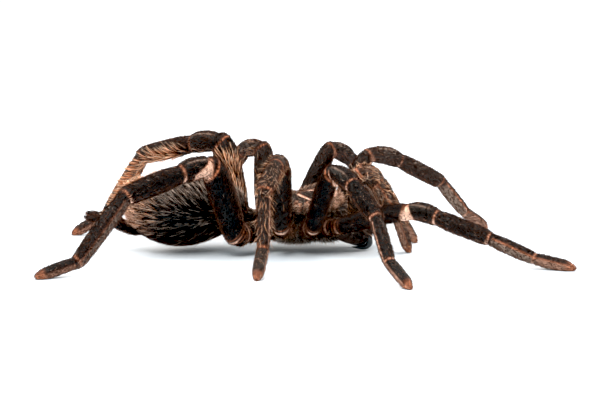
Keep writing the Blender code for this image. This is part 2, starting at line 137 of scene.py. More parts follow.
strength = add_node(sky_tree, "Math", {"operation": "MULTIPLY", 1: SKY_STRENGTH}, {0: both.outputs[0]})
sky = sky_tree.nodes["Background"]
sky.inputs["Color"].default_value = hex_colour(SKY)
sky_tree.links.new(strength.outputs[0], sky.inputs["Strength"])

# Each soft box: its name, place, aim, size in metres, watts and colour.
SOFT_BOXES = (("left_rim", (-0.75, 0.45, 0.42), (-0.02, 0.0, 0.02), 0.7, 10.0, "#FFEFE0"),
              ("right_rim", (0.75, 0.35, 0.42), (0.02, 0.0, 0.02), 0.7, 8.0, "#FFEFE0"),
              ("high_front", (-0.2, -0.6, 0.75), (0.0, 0.0, 0.02), 0.5, 7.0, "#FFFAF4"))
for name, place, aim, size, watts, colour in SOFT_BOXES:
    light = bpy.data.lights.new(name, "AREA")
    light.shape = "SQUARE"
    light.size = size
    light.energy = watts
    light.color = hex_colour(colour)[:3]
    lamp = bpy.data.objects.new(name, light)
    lamp.location = place
    lamp.rotation_euler = (Vector(aim) - Vector(place)).to_track_quat("-Z", "Y").to_euler()
    scene.collection.objects.link(lamp)

# The under side of the front body.
# A flat horny plate, the sternum, with the lip and the mouth parts in front of it and the
# soft wall above it. Black velvet covers them all; here they are one fused skin.
BODY_PLACE = Vector((0.5, 6.8, 0.0))
# Half sizes and places in millimetres from the middle of the front body.
STERNUM_SIZE = (12.9, 8.9, 6.1)
STERNUM_PLACE = (-1.0, 0.0, 9.2)
HEAD_BASE_SIZE = (6.4, 6.6, 3.8)
HEAD_BASE_PLACE = (8.6, 0.0, 10.6)
MOUTH_SIZE = (7.9, 5.3, 4.8)
MOUTH_PLACE = (9.2, 0.0, 8.2)
BODY_WALL_SIZE = (13.2, 10.8, 5.0)
BODY_WALL_PLACE = (-0.5, 0.0, 12.2)
BODY_VOXEL = 0.4 * MM


def on_body(x, y, z):
    """A point given in millimetres from the middle of the front body."""
    return (BODY_PLACE + Vector((x, y, z))) * MM


def apply_modifiers(piece):
    """Applies a piece's modifiers in their order."""
    bpy.context.view_layer.objects.active = piece
    for modifier in list(piece.modifiers):
        bpy.ops.object.modifier_apply(modifier=modifier.name)


def add_ball(place, half_sizes, segments=32, rings=20, turn=(0.0, 0.0, 0.0)):
    """An egg-shaped piece, its size in millimetres and its turn in degrees."""
    bpy.ops.object.select_all(action="DESELECT")
    bpy.ops.mesh.primitive_uv_sphere_add(segments=segments, ring_count=rings, radius=MM, location=place,
                                         rotation=[math.radians(angle) for angle in turn])
    ball = bpy.context.object
    ball.scale = half_sizes
    bpy.ops.object.transform_apply(location=True, rotation=True, scale=True)
    return ball


def melt_together(name, pieces, voxel, rounds):
    """Joins closed pieces, melts them into one skin and relaxes it by so many rounds."""
    bpy.ops.object.select_all(action="DESELECT")
    for piece in pieces:
        piece.select_set(True)
    bpy.context.view_layer.objects.active = pieces[0]
    bpy.ops.object.join()
    skin = bpy.context.view_layer.objects.active
    skin.name = name
    skin.data.name = name
    melt = skin.modifiers.new("Melt", "REMESH")
    melt.mode = "VOXEL"
    melt.voxel_size = voxel
    relax = skin.modifiers.new("Relax", "SMOOTH")
    relax.factor = 0.5
    relax.iterations = rounds
    apply_modifiers(skin)
    skin.data.shade_smooth()
    return skin


body_forms = ((STERNUM_PLACE, STERNUM_SIZE), (HEAD_BASE_PLACE, HEAD_BASE_SIZE),
              (MOUTH_PLACE, MOUTH_SIZE), (BODY_WALL_PLACE, BODY_WALL_SIZE))
body_balls = [add_ball(on_body(*place), size) for place, size in body_forms]
body_skin = melt_together("front_body_skin", body_balls, BODY_VOXEL, rounds=4)

# The fur and the shell under it.
# Every hair of this spider is a chitin bristle that stands in a socket of the shell, nearly
# black at its root and rusty or grey towards its tip. The shell under it is black, and the
# skin of the joints pale.
# The marks that a skin and its coat carry, each laid over the one before it.
MARK_COLOURS = {"grey": "#8C7668", "rust": "#D8845C", "cream": "#F6CBB2"}
BRISTLE_SHEEN = "#F0B096"
SHELL_SHEEN = "#E09870"
# The width of the lighter and darker patches of a coat and of a shell. The felt's grain is
# drawn coarser than its hairs, which would be too fine to show.
COAT_PATCHES = 3.0 * MM
SHELL_PATCHES = 0.6 * MM
FELT_GRAIN = 0.2 * MM
FELT_DEPTH = 0.1 * MM


def mark_colour(tree, base):
    """The base colour with the grey, rust and cream of the piece's own marks laid over it."""
    for mark, colour in MARK_COLOURS.items():
        amount = add_node(tree, "Attribute", {"attribute_name": mark})
        mix = add_node(tree, "Mix", {"data_type": "RGBA", 7: hex_colour(colour)},
                       {0: amount.outputs["Fac"], 6: base})
        base = mix.outputs[2]
    return base


def mottled(tree, base, grain, low, high):
    """A colour made lighter and darker in soft patches, grain metres across."""
    place = add_node(tree, "TexCoord")
    patches = add_node(tree, "TexNoise", {"Scale": 1 / grain, "Detail": 3.0},
                       {"Vector": place.outputs["Object"]})
    amount = add_node(tree, "MapRange", {"From Min": 0.35, "From Max": 0.65, "To Min": low, "To Max": high},
                      {"Value": patches.outputs[0]})
    return add_node(tree, "HueSaturation", links={"Color": base, "Value": amount.outputs[0]}).outputs[0]


def bristle_material(name, root, tip, other_tip, tip_start, sheen, shine):
    """Chitin bristles: satin, dark at the root, each tip between two colours.

    Tip_start is the share of a bristle that is all root colour. The sheen is the light that
    thin tips let through.
    """
    material, tree, output = new_material(name)
    kind = add_node(tree, "Attribute", {"attribute_name": "kind"})
    tips = add_node(tree, "Mix", {"data_type": "RGBA", 6: hex_colour(tip), 7: hex_colour(other_tip)},
                    {0: kind.outputs["Fac"]})
    marked = mark_colour(tree, mottled(tree, tips.outputs[2], COAT_PATCHES, 0.75, 1.3))
    shade = add_node(tree, "Attribute", {"attribute_name": "shade"})
    varied = add_node(tree, "HueSaturation", links={"Color": marked, "Value": shade.outputs["Fac"]})
    along = add_node(tree, "Attribute", {"attribute_name": "along"})
    rise = add_node(tree, "MapRange", {"From Min": tip_start, "From Max": 0.9},
                    {"Value": along.outputs["Fac"]})
    colour = add_node(tree, "Mix", {"data_type": "RGBA", 6: hex_colour(root)},
                      {0: rise.outputs[0], 7: varied.outputs[0]})
    surface = add_node(tree, "BsdfPrincipled", {"Roughness": 0.5, "Specular IOR Level": shine,
                                                "Sheen Weight": sheen, "Sheen Roughness": 0.05,
                                                "Sheen Tint": hex_colour(BRISTLE_SHEEN)},
                       {"Base Color": colour.outputs[2]})
    tree.links.new(surface.outputs[0], output.inputs[0])
    return material


def shell_material(name, base, roughness, sheen):
    """Chitin shell with the felt of its shortest hairs, which are too small to model."""
    material, tree, output = new_material(name)
    colour = add_node(tree, "RGB")
    colour.outputs[0].default_value = hex_colour(base)
    marked = mottled(tree, mark_colour(tree, colour.outputs[0]), SHELL_PATCHES, 0.7, 1.3)
    place = add_node(tree, "TexCoord")
    felt = add_node(tree, "TexNoise", {"Scale": 1 / FELT_GRAIN, "Detail": 3.0},
                    {"Vector": place.outputs["Object"]})
    bump = add_node(tree, "Bump", {"Strength": 0.6, "Distance": FELT_DEPTH}, {"Height": felt.outputs[0]})
    surface = add_node(tree, "BsdfPrincipled", {"Roughness": roughness, "Specular IOR Level": 0.3,
                                                "Sheen Weight": sheen, "Sheen Roughness": 0.3,
                                                "Sheen Tint": hex_colour(SHELL_SHEEN)},
                       {"Base Color": marked, "Normal": bump.outputs[0]})
    tree.links.new(surface.outputs[0], output.inputs[0])
    return material


# Black chitin under a felt of the shortest hairs: dull, with hardly a glow at its edges.
felted_shell = shell_material("felted_chitin_shell", "#0A0605", roughness=0.55, sheen=0.03)
# Velvet: short black bristles, of which only the brown tips catch light, most at the rims.
velvet = bristle_material("black_velvet_bristles", root="#020101", tip="#080504", other_tip="#2C211A",
                          tip_start=0.2, sheen=1.0, shine=0.02)
# Rusty bristles: dark below, salmon to cream above, so that each tip stands out on the black.
# Their near-white tips are partly painted light, the glow of light let through thin hair.
rusty_bristles = bristle_material("rusty_bristles", root="#170D08", tip="#F2AA80", other_tip="#FFE2CC",
                                  tip_start=0.15, sheen=0.3, shine=0.2)
# Golden bristles: pale over their whole length, with a silky gloss. The gold is their own;
# their paleness, even at the root, is partly painted light, the glow of back-lit hair.
golden_bristles = bristle_material("golden_bristles", root="#CC7848", tip="#FFC08C", other_tip="#FFE8D0",
                                   tip_start=0.0, sheen=0.4, shine=0.3)
# Grey bristles: dark below, with dusty tan to white tips.
grey_bristles = bristle_material("grey_bristles", root="#120C09", tip="#CDAE98", other_tip="#FAE4D4",
                                 tip_start=0.15, sheen=0.15, shine=0.2)


def set_mark(mesh, name, values):
    """Stores one number for each vertex under a name."""
    attribute = mesh.attributes.get(name) or mesh.attributes.new(name, "FLOAT", "POINT")
    attribute.data.foreach_set("value", np.asarray(values, np.float32))


def mesh_points(mesh):
    """The vertices and their normals as arrays."""
    points = np.zeros(len(mesh.vertices) * 3)
    mesh.vertices.foreach_get("co", points)
    normals = np.zeros(len(mesh.vertices) * 3)
    mesh.vertex_normals.foreach_get("vector", normals)
    return points.reshape(-1, 3), normals.reshape(-1, 3)


def scatter(skin, per_square, random):
    """Roots strewn evenly over a skin, so many a square millimetre, and its normal at each."""
    mesh = skin.data
    mesh.calc_loop_triangles()
    corners = np.zeros(len(mesh.loop_triangles) * 3, np.int32)
    mesh.loop_triangles.foreach_get("vertices", corners)
    corners = corners.reshape(-1, 3)
    points, normals = mesh_points(mesh)
    a, b, c = (points[corners[:, k]] for k in range(3))
    areas = np.linalg.norm(np.cross(b - a, c - a), axis=1) / 2
    count = int(areas.sum() / MM ** 2 * per_square)
    chosen = random.choice(len(areas), count, p=areas / areas.sum())
    u, v = random.random(count), random.random(count)
    fold = u + v > 1
    u[fold], v[fold] = 1 - u[fold], 1 - v[fold]
    shares = np.stack([1 - u - v, u, v], 1)
    roots = (points[corners[chosen]] * shares[:, :, None]).sum(1)
    outward = (normals[corners[chosen]] * shares[:, :, None]).sum(1)
    return roots, outward / np.linalg.norm(outward, axis=1)[:, None]


def unit(vectors):
    """Each row at length one."""
    return vectors / np.maximum(np.linalg.norm(vectors, axis=-1, keepdims=True), 1e-12)


# The tufts: how deep their roots sit in the skin, how far their points stay off the floor,
# how much of its width each loses towards its tip, the share of the coat's flat pattern
# that one takes, and how much of its own facets' shading a soft coat keeps.
TUFT_SINK = 0.12 * MM
FLOOR_CLEAR = 0.02 * MM
TUFT_TAPER = 0.75
PATCH = 0.003
OWN_SHADE = 0.14


def plant(name, roots, outward, lie, length, width, lift, tip_lift, unwrap, marks, material, random,
          rings, soft):
    """Grows one tapered, closed tuft at each root and returns them as one piece.

    Length and width are in metres, lift and tip_lift in degrees off the skin. Rings is the
    number of triangular rings below the tip, so a tuft has 4, 10 or 16 triangles. Unwrap
    gives each root's place on the skin's flat pattern, from 0 to 1. A soft coat is shaded
    as the skin under it, as close fur is.
    """
    count = len(roots)
    lie = unit(lie - outward * (lie * outward).sum(1)[:, None])
    side = np.cross(outward, lie)
    start_angle = np.radians(lift)[:, None]
    end_angle = np.radians(tip_lift)[:, None]
    start_way = lie * np.cos(start_angle) + outward * np.sin(start_angle)
    end_way = lie * np.cos(end_angle) + outward * np.sin(end_angle)
    length = length[:, None]
    shares = [k / rings for k in range(rings)]
    stations = []
    for share in shares + [1.0]:
        bend = length * (start_way * (share - share ** 2 / 2) + end_way * share ** 2 / 2)
        stations.append(roots - outward * TUFT_SINK + bend)
    corners = []
    for share, centre in zip(shares, stations):
        way = unit(start_way * (1 - share) + end_way * share)
        upper = np.cross(side, way)
        half = (width * (1 - TUFT_TAPER * share ** 1.5) / 2)[:, None]
        for turn in (90, 210, 330):
            corner = math.radians(turn)
            corners.append(centre + half * (side * math.cos(corner) + upper * math.sin(corner)))
    points = np.stack(corners + [stations[-1]], 1)
    points[:, :, 2] = np.maximum(points[:, :, 2], FLOOR_CLEAR)
    each = 3 * rings + 1
    faces = [(0, 2, 1)]
    for ring in range(rings - 1):
        low, high = 3 * ring, 3 * ring + 3
        for k in range(3):
            n = (k + 1) % 3
            faces += [(low + k, low + n, high + n), (low + k, high + n, high + k)]
    low = 3 * (rings - 1)
    faces += [(low + k, low + (k + 1) % 3, each - 1) for k in range(3)]
    loops = (np.array(faces)[None] + np.arange(count)[:, None, None] * each).reshape(-1)
    mesh = bpy.data.meshes.new(name)
    mesh.vertices.add(count * each)
    mesh.vertices.foreach_set("co", points.reshape(-1))
    mesh.loops.add(len(loops))
    mesh.loops.foreach_set("vertex_index", loops.astype(np.int32))
    mesh.polygons.add(len(loops) // 3)
    mesh.polygons.foreach_set("loop_start", np.arange(0, len(loops), 3, dtype=np.int32))
    mesh.polygons.foreach_set("loop_total", np.full(len(loops) // 3, 3, np.int32))
    mesh.update(calc_edges=True)
    heights = np.array([share for share in shares for _ in range(3)] + [1.0])
    across = np.array([0.5, 0.0, 1.0] * rings + [0.5])
    patch = np.stack([across, heights], 1) * PATCH
    flat = (unwrap[:, None, :] * (1 - PATCH) + patch[None]).reshape(-1, 2)
    layer = mesh.uv_layers.new(name="OFBake")
    layer.data.foreach_set("uv", flat[loops].reshape(-1).astype(np.float32))
    set_mark(mesh, "along", np.tile(heights, count))
    set_mark(mesh, "shade", np.repeat(random.uniform(0.5, 1.5, count), each))
    set_mark(mesh, "kind", np.repeat(random.random(count), each))
    for mark in MARK_COLOURS:
        set_mark(mesh, mark, np.repeat(marks[mark], each) if mark in marks else np.zeros(count * each))
    mesh.materials.append(material)
    mesh.shade_smooth()
    if soft:
        facing = unit(mesh_points(mesh)[1] * OWN_SHADE + np.repeat(outward, each, 0))
        mesh.normals_split_custom_set_from_vertices(facing.tolist())
    coat = bpy.data.objects.new(name, mesh)
    scene.collection.objects.link(coat)
    return coat


def grow(name, skin, plan, material, per_square, seed, rings=1, soft=True):
    """Strews roots over a skin, asks the plan how the hair stands there, and grows the coat.

    Per_square is how many roots are strewn on a square millimetre, before the plan thins them.
    """
    random = np.random.default_rng(seed)
    roots, outward = scatter(skin, per_square, random)
    hair = plan(roots, outward, random)
    kept = hair.pop("kept")
    marks = {mark: values[kept] for mark, values in hair.pop("marks", {}).items()}
    hair = {what: values[kept] for what, values in hair.items()}
    coat = plant(name, roots[kept], outward[kept], marks=marks, material=material, random=random,
                 rings=rings, soft=soft, **hair)
    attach(coat, "root")


def finish_skin(skin, material, slot, *nodes, **marks):
    """Gives a skin its material and marks, and has it stand for the solids it covers."""
    for mark in MARK_COLOURS:
        set_mark(skin.data, mark, marks.get(mark, np.zeros(len(skin.data.vertices))))
    skin.data.materials.clear()
    skin.data.materials.append(material)
    skin.data.shade_smooth()
    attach(skin, "root")
    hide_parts(*nodes)


def smooth_step(low, high, values):
    """Rises softly from 0 at low to 1 at high."""
    share = np.clip((values - low) / (high - low), 0, 1)
    return share * share * (3 - 2 * share)


# The front body's coat: black velvet, rusty just under the shield, with single grey-tipped
# bristles that hang below it. It leans out from the sternum's middle, fully at this distance.
UNDER_FAN = 16.0 * MM


def under_plan(roots, outward, random):
    """How the dark hair hangs under the front body."""
    count = len(roots)
    local = (roots - np.array(on_body(*STERNUM_PLACE))) / UNDER_FAN
    return {"kept": outward[:, 2] < 0.9, "lift": random.normal(48, 10, count),
            "tip_lift": random.normal(40, 10, count),
            "lie": np.array([-0.3, 0.0, 0.0]) + local + random.normal(0, 0.3, (count, 3)),
            "marks": {"rust": 0.5 * smooth_step(10.5, 12.5, roots[:, 2] / MM) * random.random(count) ** 2},
            "length": random.uniform(1.2, 2.4, count) * MM,
            "width": np.full(count, 0.17 * MM),
            "unwrap": np.clip(0.5 + 0.45 * local[:, :2], 0, 1)}


def under_bristle_plan(roots, outward, random):
    """How single longer bristles hang among it."""
    count = len(roots)
    hair = under_plan(roots, outward, random)
    hair["kept"] = outward[:, 2] < 0.7
    hair["lift"] = random.normal(65, 12, count)
    hair["length"] = random.uniform(2.0, 3.2, count) * MM
    hair["width"] = np.full(count, 0.13 * MM)
    return hair


finish_skin(body_skin, felted_shell, "underside_hair", "sternum")
grow("front_body_velvet", body_skin, under_plan, velvet, per_square=10.0, seed=11)
grow("front_body_bristles", body_skin, under_bristle_plan, grey_bristles,
     per_square=3.6, seed=12, rings=2, soft=False)

# The legs and palps.
# Each is a row of horny tubes joined by bare pale skin, one tube a segment, all under
# black velvet. Here each limb is one skin from coxa to foot, its joints drawn in.

# Radii in millimetres over the velvet.
LIMB_RADII = {
    "leg_1": {"femur": 3.2, "patella": 3.3, "tibia": 3.0, "metatarsus": 2.5, "tarsus": 2.25},
    "leg_2": {"femur": 3.3, "patella": 3.25, "tibia": 2.9, "metatarsus": 2.4, "tarsus": 2.15},
    "leg_3": {"femur": 3.6, "patella": 3.25, "tibia": 3.15, "metatarsus": 2.4, "tarsus": 2.15},
    "leg_4": {"femur": 4.6, "patella": 3.9, "tibia": 3.6, "metatarsus": 3.0, "tarsus": 2.2},
    "palp": {"femur": 2.45, "patella": 2.7, "tibia": 2.7, "tarsus": 2.05},
}
# How far the middle of a segment is arched up, in millimetres.
ARCH = {"femur": 0.4, "patella": 0.8}
# Each segment's outline, from its near joint to its far one: share along it, share of radius.
SEGMENT_SHAPE = {
    "femur": ((0.0, 0.80), (0.06, 0.88), (0.3, 1.0), (0.62, 1.02), (0.84, 0.99), (0.96, 0.93),
              (1.0, 0.82)),
    "patella": ((0.0, 0.72), (0.1, 0.82), (0.33, 0.98), (0.7, 1.04), (0.93, 0.94), (1.0, 0.84)),
    "tibia": ((0.0, 0.82), (0.06, 0.91), (0.28, 1.03), (0.72, 1.0), (0.95, 0.92), (1.0, 0.82)),
    "metatarsus": ((0.0, 0.8), (0.06, 0.9), (0.3, 1.02), (0.75, 0.99), (0.95, 0.89), (1.0, 0.78)),
    "tarsus": ((0.0, 0.88), (0.07, 0.97), (0.35, 1.05), (0.75, 1.03), (0.92, 0.92), (1.0, 0.66)),
}
COXA_SHAPE = ((0.0, 0.95), (0.5, 1.02), (0.85, 0.98), (1.0, 0.84))
# A tube's round end: how far past it two rings stand and how wide they are, in radii of a
# tube that ends END_SIZE wide.
ROUND_END = ((0.45, 0.66), (0.8, 0.3))
END_SIZE = 0.82
LEG_SEGMENTS = ("femur", "patella", "tibia", "metatarsus", "tarsus")
PALP_SEGMENTS = ("femur", "patella", "tibia", "tarsus")
# The depth of the velvet, the height of the foot's end and the lowest of its skin.
FUR_DEPTH = 0.28
TIP_HEIGHT = 1.2
SOLE_HEIGHT = 0.12 * MM
LIMB_VOXEL = 0.34 * MM

# Segment lengths in millimetres, the same on the left and the right.
SEGMENT_LENGTHS = {
    "leg_1": (24.8, 14.2, 18.4, 16.6, 12.4),
    "leg_2": (24.8, 13.8, 16.6, 16.6, 12.6),
    "leg_3": (21.7, 13.1, 14.7, 18.9, 12.5),
    "leg_4": (26.2, 12.5, 20.7, 26.6, 13.7),
    "palp": (18.6, 7.8, 12.7, 13.6),
}
# Each limb's hip in millimetres on the body, then the heading and the pitch of each segment
# in degrees. The foot has no pitch here: it follows from the height that is left.
LIMBS = {
    "leg_1_right": ((12.1, -13.7, 9.9),
                    ((-19.5, 15), (-52.5, -2), (-15.5, -20.5), (-22, -21.5), (-24.5, None))),
    "leg_2_right": ((3.2, -18.2, 10.2),
                    ((-67.5, 57), (-64, -11.5), (-64, -31.5), (-73.5, -50), (-64.5, None))),
    "leg_3_right": ((-7.6, -18.2, 10.3),
                    ((-91.5, 81.5), (-101.5, 8), (-108.5, -24.5), (-115, -85.5), (-103.5, None))),
    "leg_4_right": ((-23.2, -15.2, 7.7),
                    ((-138.5, 67.5), (-147.5, -6), (-154, -16.5), (-153.5, -49.5), (-153.5, None))),
    "leg_1_left": ((13.2, 14.1, 10.2),
                   ((17.5, 57.5), (30.5, -11.5), (13, -27.5), (26, -47.5), (36, None))),
    "leg_2_left": ((1.4, 18.1, 11.3),
                   ((26.5, 60), (50.5, -20), (55.5, -29.5), (58, -58), (52.5, None))),
    "leg_3_left": ((-11.7, 18.2, 11.6),
                   ((87.5, 78.5), (122, -6), (123.5, -40), (127.5, -62), (126.5, None))),
    "leg_4_left": ((-21.0, 14.7, 10.2),
                   ((148.5, 76.5), (149, -3), (153.5, -14), (158.5, -57), (-170, None))),
    "palp_right": ((18.0, -10.4, 10.0), ((-69, 81.5), (20, -30.5), (6, -55), (2, None))),
    "palp_left": ((17.6, 10.35, 10.2), ((-50.5, 67.5), (15, -32), (1, -60.5), (28, None))),
}
# Where the coxae start under the front body, on its left side, and their radii.
COXA_ROOT = {"palp": (7.4, 4.1, 7.6), "leg_1": (5.0, 4.6, 8.2), "leg_2": (2.0, 5.0, 8.0),
             "leg_3": (-4.0, 5.0, 8.0), "leg_4": (-9.0, 4.0, 8.0)}
COXA_RADIUS = {"palp": 2.3, "leg": 3.5}
TROCHANTER_LENGTH = 3.8
TROCHANTER_SIZE = 0.86


def direction(heading, pitch):
    """The unit vector of a heading and a pitch, both in degrees."""
    turn, rise = math.radians(heading), math.radians(pitch)
    return Vector((math.cos(turn) * math.cos(rise), math.sin(turn) * math.cos(rise), math.sin(rise)))


def limb_bones(name):
    """A limb's tubes from the coxa out: name, start, end, the way its back faces, radius."""
    hip, ways = LIMBS[name]
    side = 1 if hip[1] > 0 else -1
    kind = name.rsplit("_", 1)[0]
    palp = kind == "palp"
    radii = LIMB_RADII[kind]
    root_x, root_y, root_z = COXA_ROOT[kind]
    root = on_body(root_x, root_y * side, root_z)
    joint = on_body(*hip)
    reach = (joint - root).normalized()
    trochanter = joint - reach * TROCHANTER_LENGTH * MM
    up = Vector((0.0, 0.0, 1.0))
    bones = [("coxa", root, trochanter, up, COXA_RADIUS["palp" if palp else "leg"]),
             ("trochanter", trochanter, joint, up, TROCHANTER_SIZE * radii["femur"])]
    names = PALP_SEGMENTS if palp else LEG_SEGMENTS
    for part, size, (heading, pitch) in zip(names, SEGMENT_LENGTHS[kind], ways):
        length = size * MM
        if pitch is None:
            pitch = -math.degrees(math.asin((joint.z - TIP_HEIGHT * MM) / length))
        end = joint + direction(heading, pitch) * length
        bones.append((part, joint, end, direction(heading, pitch + 90), radii[part]))
        joint = end
    return bones


def turned_piece(start, end, stations, sides=20):
    """A round piece drawn out ring by ring, from (distance, radius) pairs in metres."""
    bpy.ops.object.select_all(action="DESELECT")
    place, radius = stations[0]
    bpy.ops.mesh.primitive_circle_add(vertices=sides, radius=radius, fill_type="NGON",
                                      location=(0.0, 0.0, 0.0))
    piece = bpy.context.object
    bpy.ops.object.mode_set(mode="EDIT")
    bpy.ops.mesh.select_all(action="SELECT")
    first = place
    for next_place, next_radius in stations[1:]:
        step = (0.0, 0.0, next_place - place)
        bpy.ops.mesh.extrude_region_move(TRANSFORM_OT_translate={"value": step})
        bpy.ops.transform.resize(value=(next_radius / radius, next_radius / radius, 1.0),
                                 center_override=(0.0, 0.0, next_place - first))
        place, radius = next_place, next_radius
    bpy.ops.object.mode_set(mode="OBJECT")
    axis = (end - start).normalized()
    facing = axis.to_track_quat("Z", "Y").to_matrix().to_4x4()
    piece.data.transform(Matrix.Translation(start + axis * first) @ facing)
    return piece


def tube_stations(shape, length, radius):
    """Stations of one tube with round ends, in metres."""
    (near, wide), (far, slim) = ROUND_END
    first, last = shape[0][1], shape[-1][1]
    stations = [(-far * radius * first, slim * radius), (-near * radius, wide * radius)]
    stations += [(share * length, size * radius) for share, size in shape]
    stations += [(length + near * radius, wide * radius * last / END_SIZE),
                 (length + far * radius, slim * radius * last / END_SIZE)]
    return stations


def limb_place(points, bones):
    """For each point: its bone's number, share along it and turn round it from the back."""
    best = np.full(len(points), 1e9)
    number = np.zeros(len(points), int)
    share = np.zeros(len(points))
    turn = np.zeros(len(points))
    for index, (_, start, end, up, radius) in enumerate(bones):
        axis = np.array((end - start).normalized())
        length = (end - start).length
        back = np.array(up - Vector(axis) * up.dot(Vector(axis)))
        back = back / np.linalg.norm(back)
        side = np.cross(axis, back)
        local = points - np.array(start)
        place = local @ axis
        inside = np.clip(place, 0, length)
        away = np.linalg.norm(local - inside[:, None] * axis, axis=1) / radius
        closer = away < best
        best[closer] = away[closer]
        number[closer] = index
        share[closer] = (place / length)[closer]
        turn[closer] = np.degrees(np.arctan2(local @ side, local @ back))[closer]
    return number, share, turn


def arch_limb(points, bones):
    """Bends the middle of each femur and patella up, as they are on the animal."""
    number, share, _ = limb_place(points, bones)
    share = np.clip(share, 0, 1)
    backs = np.array([bone[3] for bone in bones])[number]
    rise = np.array([ARCH.get(bone[0], 0.0) for bone in bones])[number] * MM
    return points + backs * (rise * 4 * share * (1 - share))[:, None]


def limb_lie(number, bones):
    """The way the fur lies at each point: along its own segment, towards the foot."""
    axes = np.array([(end - start).normalized() for _, start, end, _, _ in bones])
    return axes[number]


# The bare skin of the bent knees, a wedge between femur and patella: how far behind the
# joint it starts and how far inside it ends, its spread, its paleness, its lean down and
# its shift across the knee.
KNEE_SKIN = {"leg_1_right": (2.0, 3.4, 0.55, 1.0, 1.0, -1.6),
             "leg_2_right": (0.6, 6.0, 0.26, 1.0, 0.0, -2.3),
             "leg_4_right": (3.0, 4.2, 0.42, 0.85, 0.0, -3.0),
             "leg_1_left": (1.2, 2.6, 0.42, 0.6, 0.4, 0.0),
             "leg_2_left": (1.4, 2.2, 0.35, 0.5, 0.4, 0.0)}
# The balls that fill the wedge: their radius, their distances along it and across it, and
# how far before its end they stop, in millimetres.
WEB_BALL = 1.3
WEB_STEP = 0.8
WEB_STEP_ACROSS = 0.5
WEB_END = 0.9
# No knee skin shows farther from its joint than this.
KNEE_SKIN_REACH = 8.0


def bump(values, centre, width):
    """A soft hump, one at the centre."""
    return np.exp(-((values - centre) / width) ** 2)


def knee_wedge(name, bones):
    """The place of a bent knee's wedge, the way into its crook and the way across it."""
    (_, start, knee, _, _), (_, _, end, _, _) = bones[2:4]
    back, on = (start - knee).normalized(), (end - knee).normalized()
    _, _, _, _, lean, shift = KNEE_SKIN[name]
    crook = ((back + on).normalized() + Vector((0.0, 0.0, -lean))).normalized()
    across = back - on
    across = (across - crook * across.dot(crook)).normalized()
    return knee + across * shift * MM, crook, across


def knee_web(name, bones):
    """Small balls that fill the wedge inside a bent knee, to melt into a web of skin."""
    knee, crook, across = knee_wedge(name, bones)
    top, reach, spread, _, _, _ = KNEE_SKIN[name]
    balls = []
    inside = 0.0
    while inside < reach - WEB_END:
        half = spread * (inside + top)
        steps = max(int(half / WEB_STEP_ACROSS), 1)
        for step in range(-steps, steps + 1):
            place = knee + (crook * inside + across * half * step / steps) * MM
            balls.append(add_ball(place, (WEB_BALL, WEB_BALL, WEB_BALL), 12, 8))
        inside += WEB_STEP
    return balls


# A point counts to a joint up to so many radii of the tube before it; others are far off.
JOINT_REACH = 1.45
FAR_OFF = 99.0


def joint_distance(points, bones, first, last):
    """How far each point is from the nearest joint plane between two bones, in millimetres."""
    nearest = np.full(len(points), FAR_OFF)
    for before, after in zip(bones[first:last], bones[first + 1:last + 1]):
        _, start, middle, _, radius = before
        end = after[2]
        across = np.array(((middle - start).normalized() + (end - middle).normalized()).normalized())
        local = (points - np.array(middle)) / MM
        away = np.abs(local @ across)
        away[np.linalg.norm(local, axis=1) > JOINT_REACH * radius] = FAR_OFF
        nearest = np.minimum(nearest, away)
    return nearest


# The skin in the joints beyond the knee: how wide it shows, and how pale it is.
JOINT_SKIN = {"leg_1_right": 0.55, "leg_2_right": 0.6, "leg_4_right": 0.45, "leg_1_left": 0.3}
JOINT_SKIN_LEAST = 0.05
JOINT_PALENESS = 0.75
COXA_PALENESS = 0.55
# The rusty rim of a tube: its strength, and its place and width from the joint in
# millimetres. The third right leg's knee has a faint one. The coxa has a second rim.
RIM_RUST = 0.75
KNEE_RIM_RUST = {"leg_3_right": 0.25}
RIM_PLACE = 0.1
RIM_WIDTH = 0.3
SECOND_RIM_RUST = 0.5
SECOND_RIM_PLACE = 1.3
SECOND_RIM_WIDTH = 0.2


def joint_marks(name, points, under, bones):
    """Cream skin in the joints, widest below, and the rusty rims of the tubes beside it."""
    names = [bone[0] for bone in bones]
    femur = names.index("femur")
    patella = names.index("patella")
    deep_under = np.clip((under - 0.5) / 0.5, 0, 1)
    base = joint_distance(points, bones, 0, 1)
    hip = joint_distance(points, bones, femur - 1, femur)
    knee = joint_distance(points, bones, femur, patella)
    later = joint_distance(points, bones, patella, len(bones) - 1)
    ring = 0.04 + JOINT_SKIN.get(name, JOINT_SKIN_LEAST) * (0.2 + 0.8 * deep_under)
    cream = JOINT_PALENESS * np.clip((ring - later) / 0.3 + 0.5, 0, 1) * smooth_step(0.0, 0.3, ring - 0.02)
    cream = np.maximum(cream, JOINT_PALENESS * np.clip((0.1 + 0.7 * deep_under - hip) / 0.3, 0, 1))
    cream = np.maximum(cream, COXA_PALENESS * bump(base, RIM_PLACE, 0.22))
    nearest = np.minimum(np.minimum(knee, later), np.minimum(hip, base))
    rust = KNEE_RIM_RUST.get(name, RIM_RUST) * bump(knee, RIM_PLACE, RIM_WIDTH)
    rust = np.maximum(rust, RIM_RUST * bump(nearest, RIM_PLACE, RIM_WIDTH) * (knee > 1.0))
    second = bump(np.minimum(hip, base), SECOND_RIM_PLACE, SECOND_RIM_WIDTH)
    return cream, np.maximum(rust, SECOND_RIM_RUST * second)


def knee_marks(name, points, bones):
    """The cream skin of a bent knee's web and the rust along its edge."""
    joint, crook, across = knee_wedge(name, bones)
    top, _, spread, pale, _, _ = KNEE_SKIN[name]
    local = (points - np.array(joint)) / MM
    inside = local @ np.array(crook) + top
    patch = smooth_step(-0.5, 0.9, spread * inside - np.abs(local @ np.array(across)))
    patch = patch * smooth_step(0.0, 0.6, inside) * (np.linalg.norm(local, axis=1) < KNEE_SKIN_REACH)
    return patch * pale * (0.55 + 0.45 * smooth_step(0.5, 3.0, inside)), 0.8 * smooth_step(0.0, 0.5, patch)
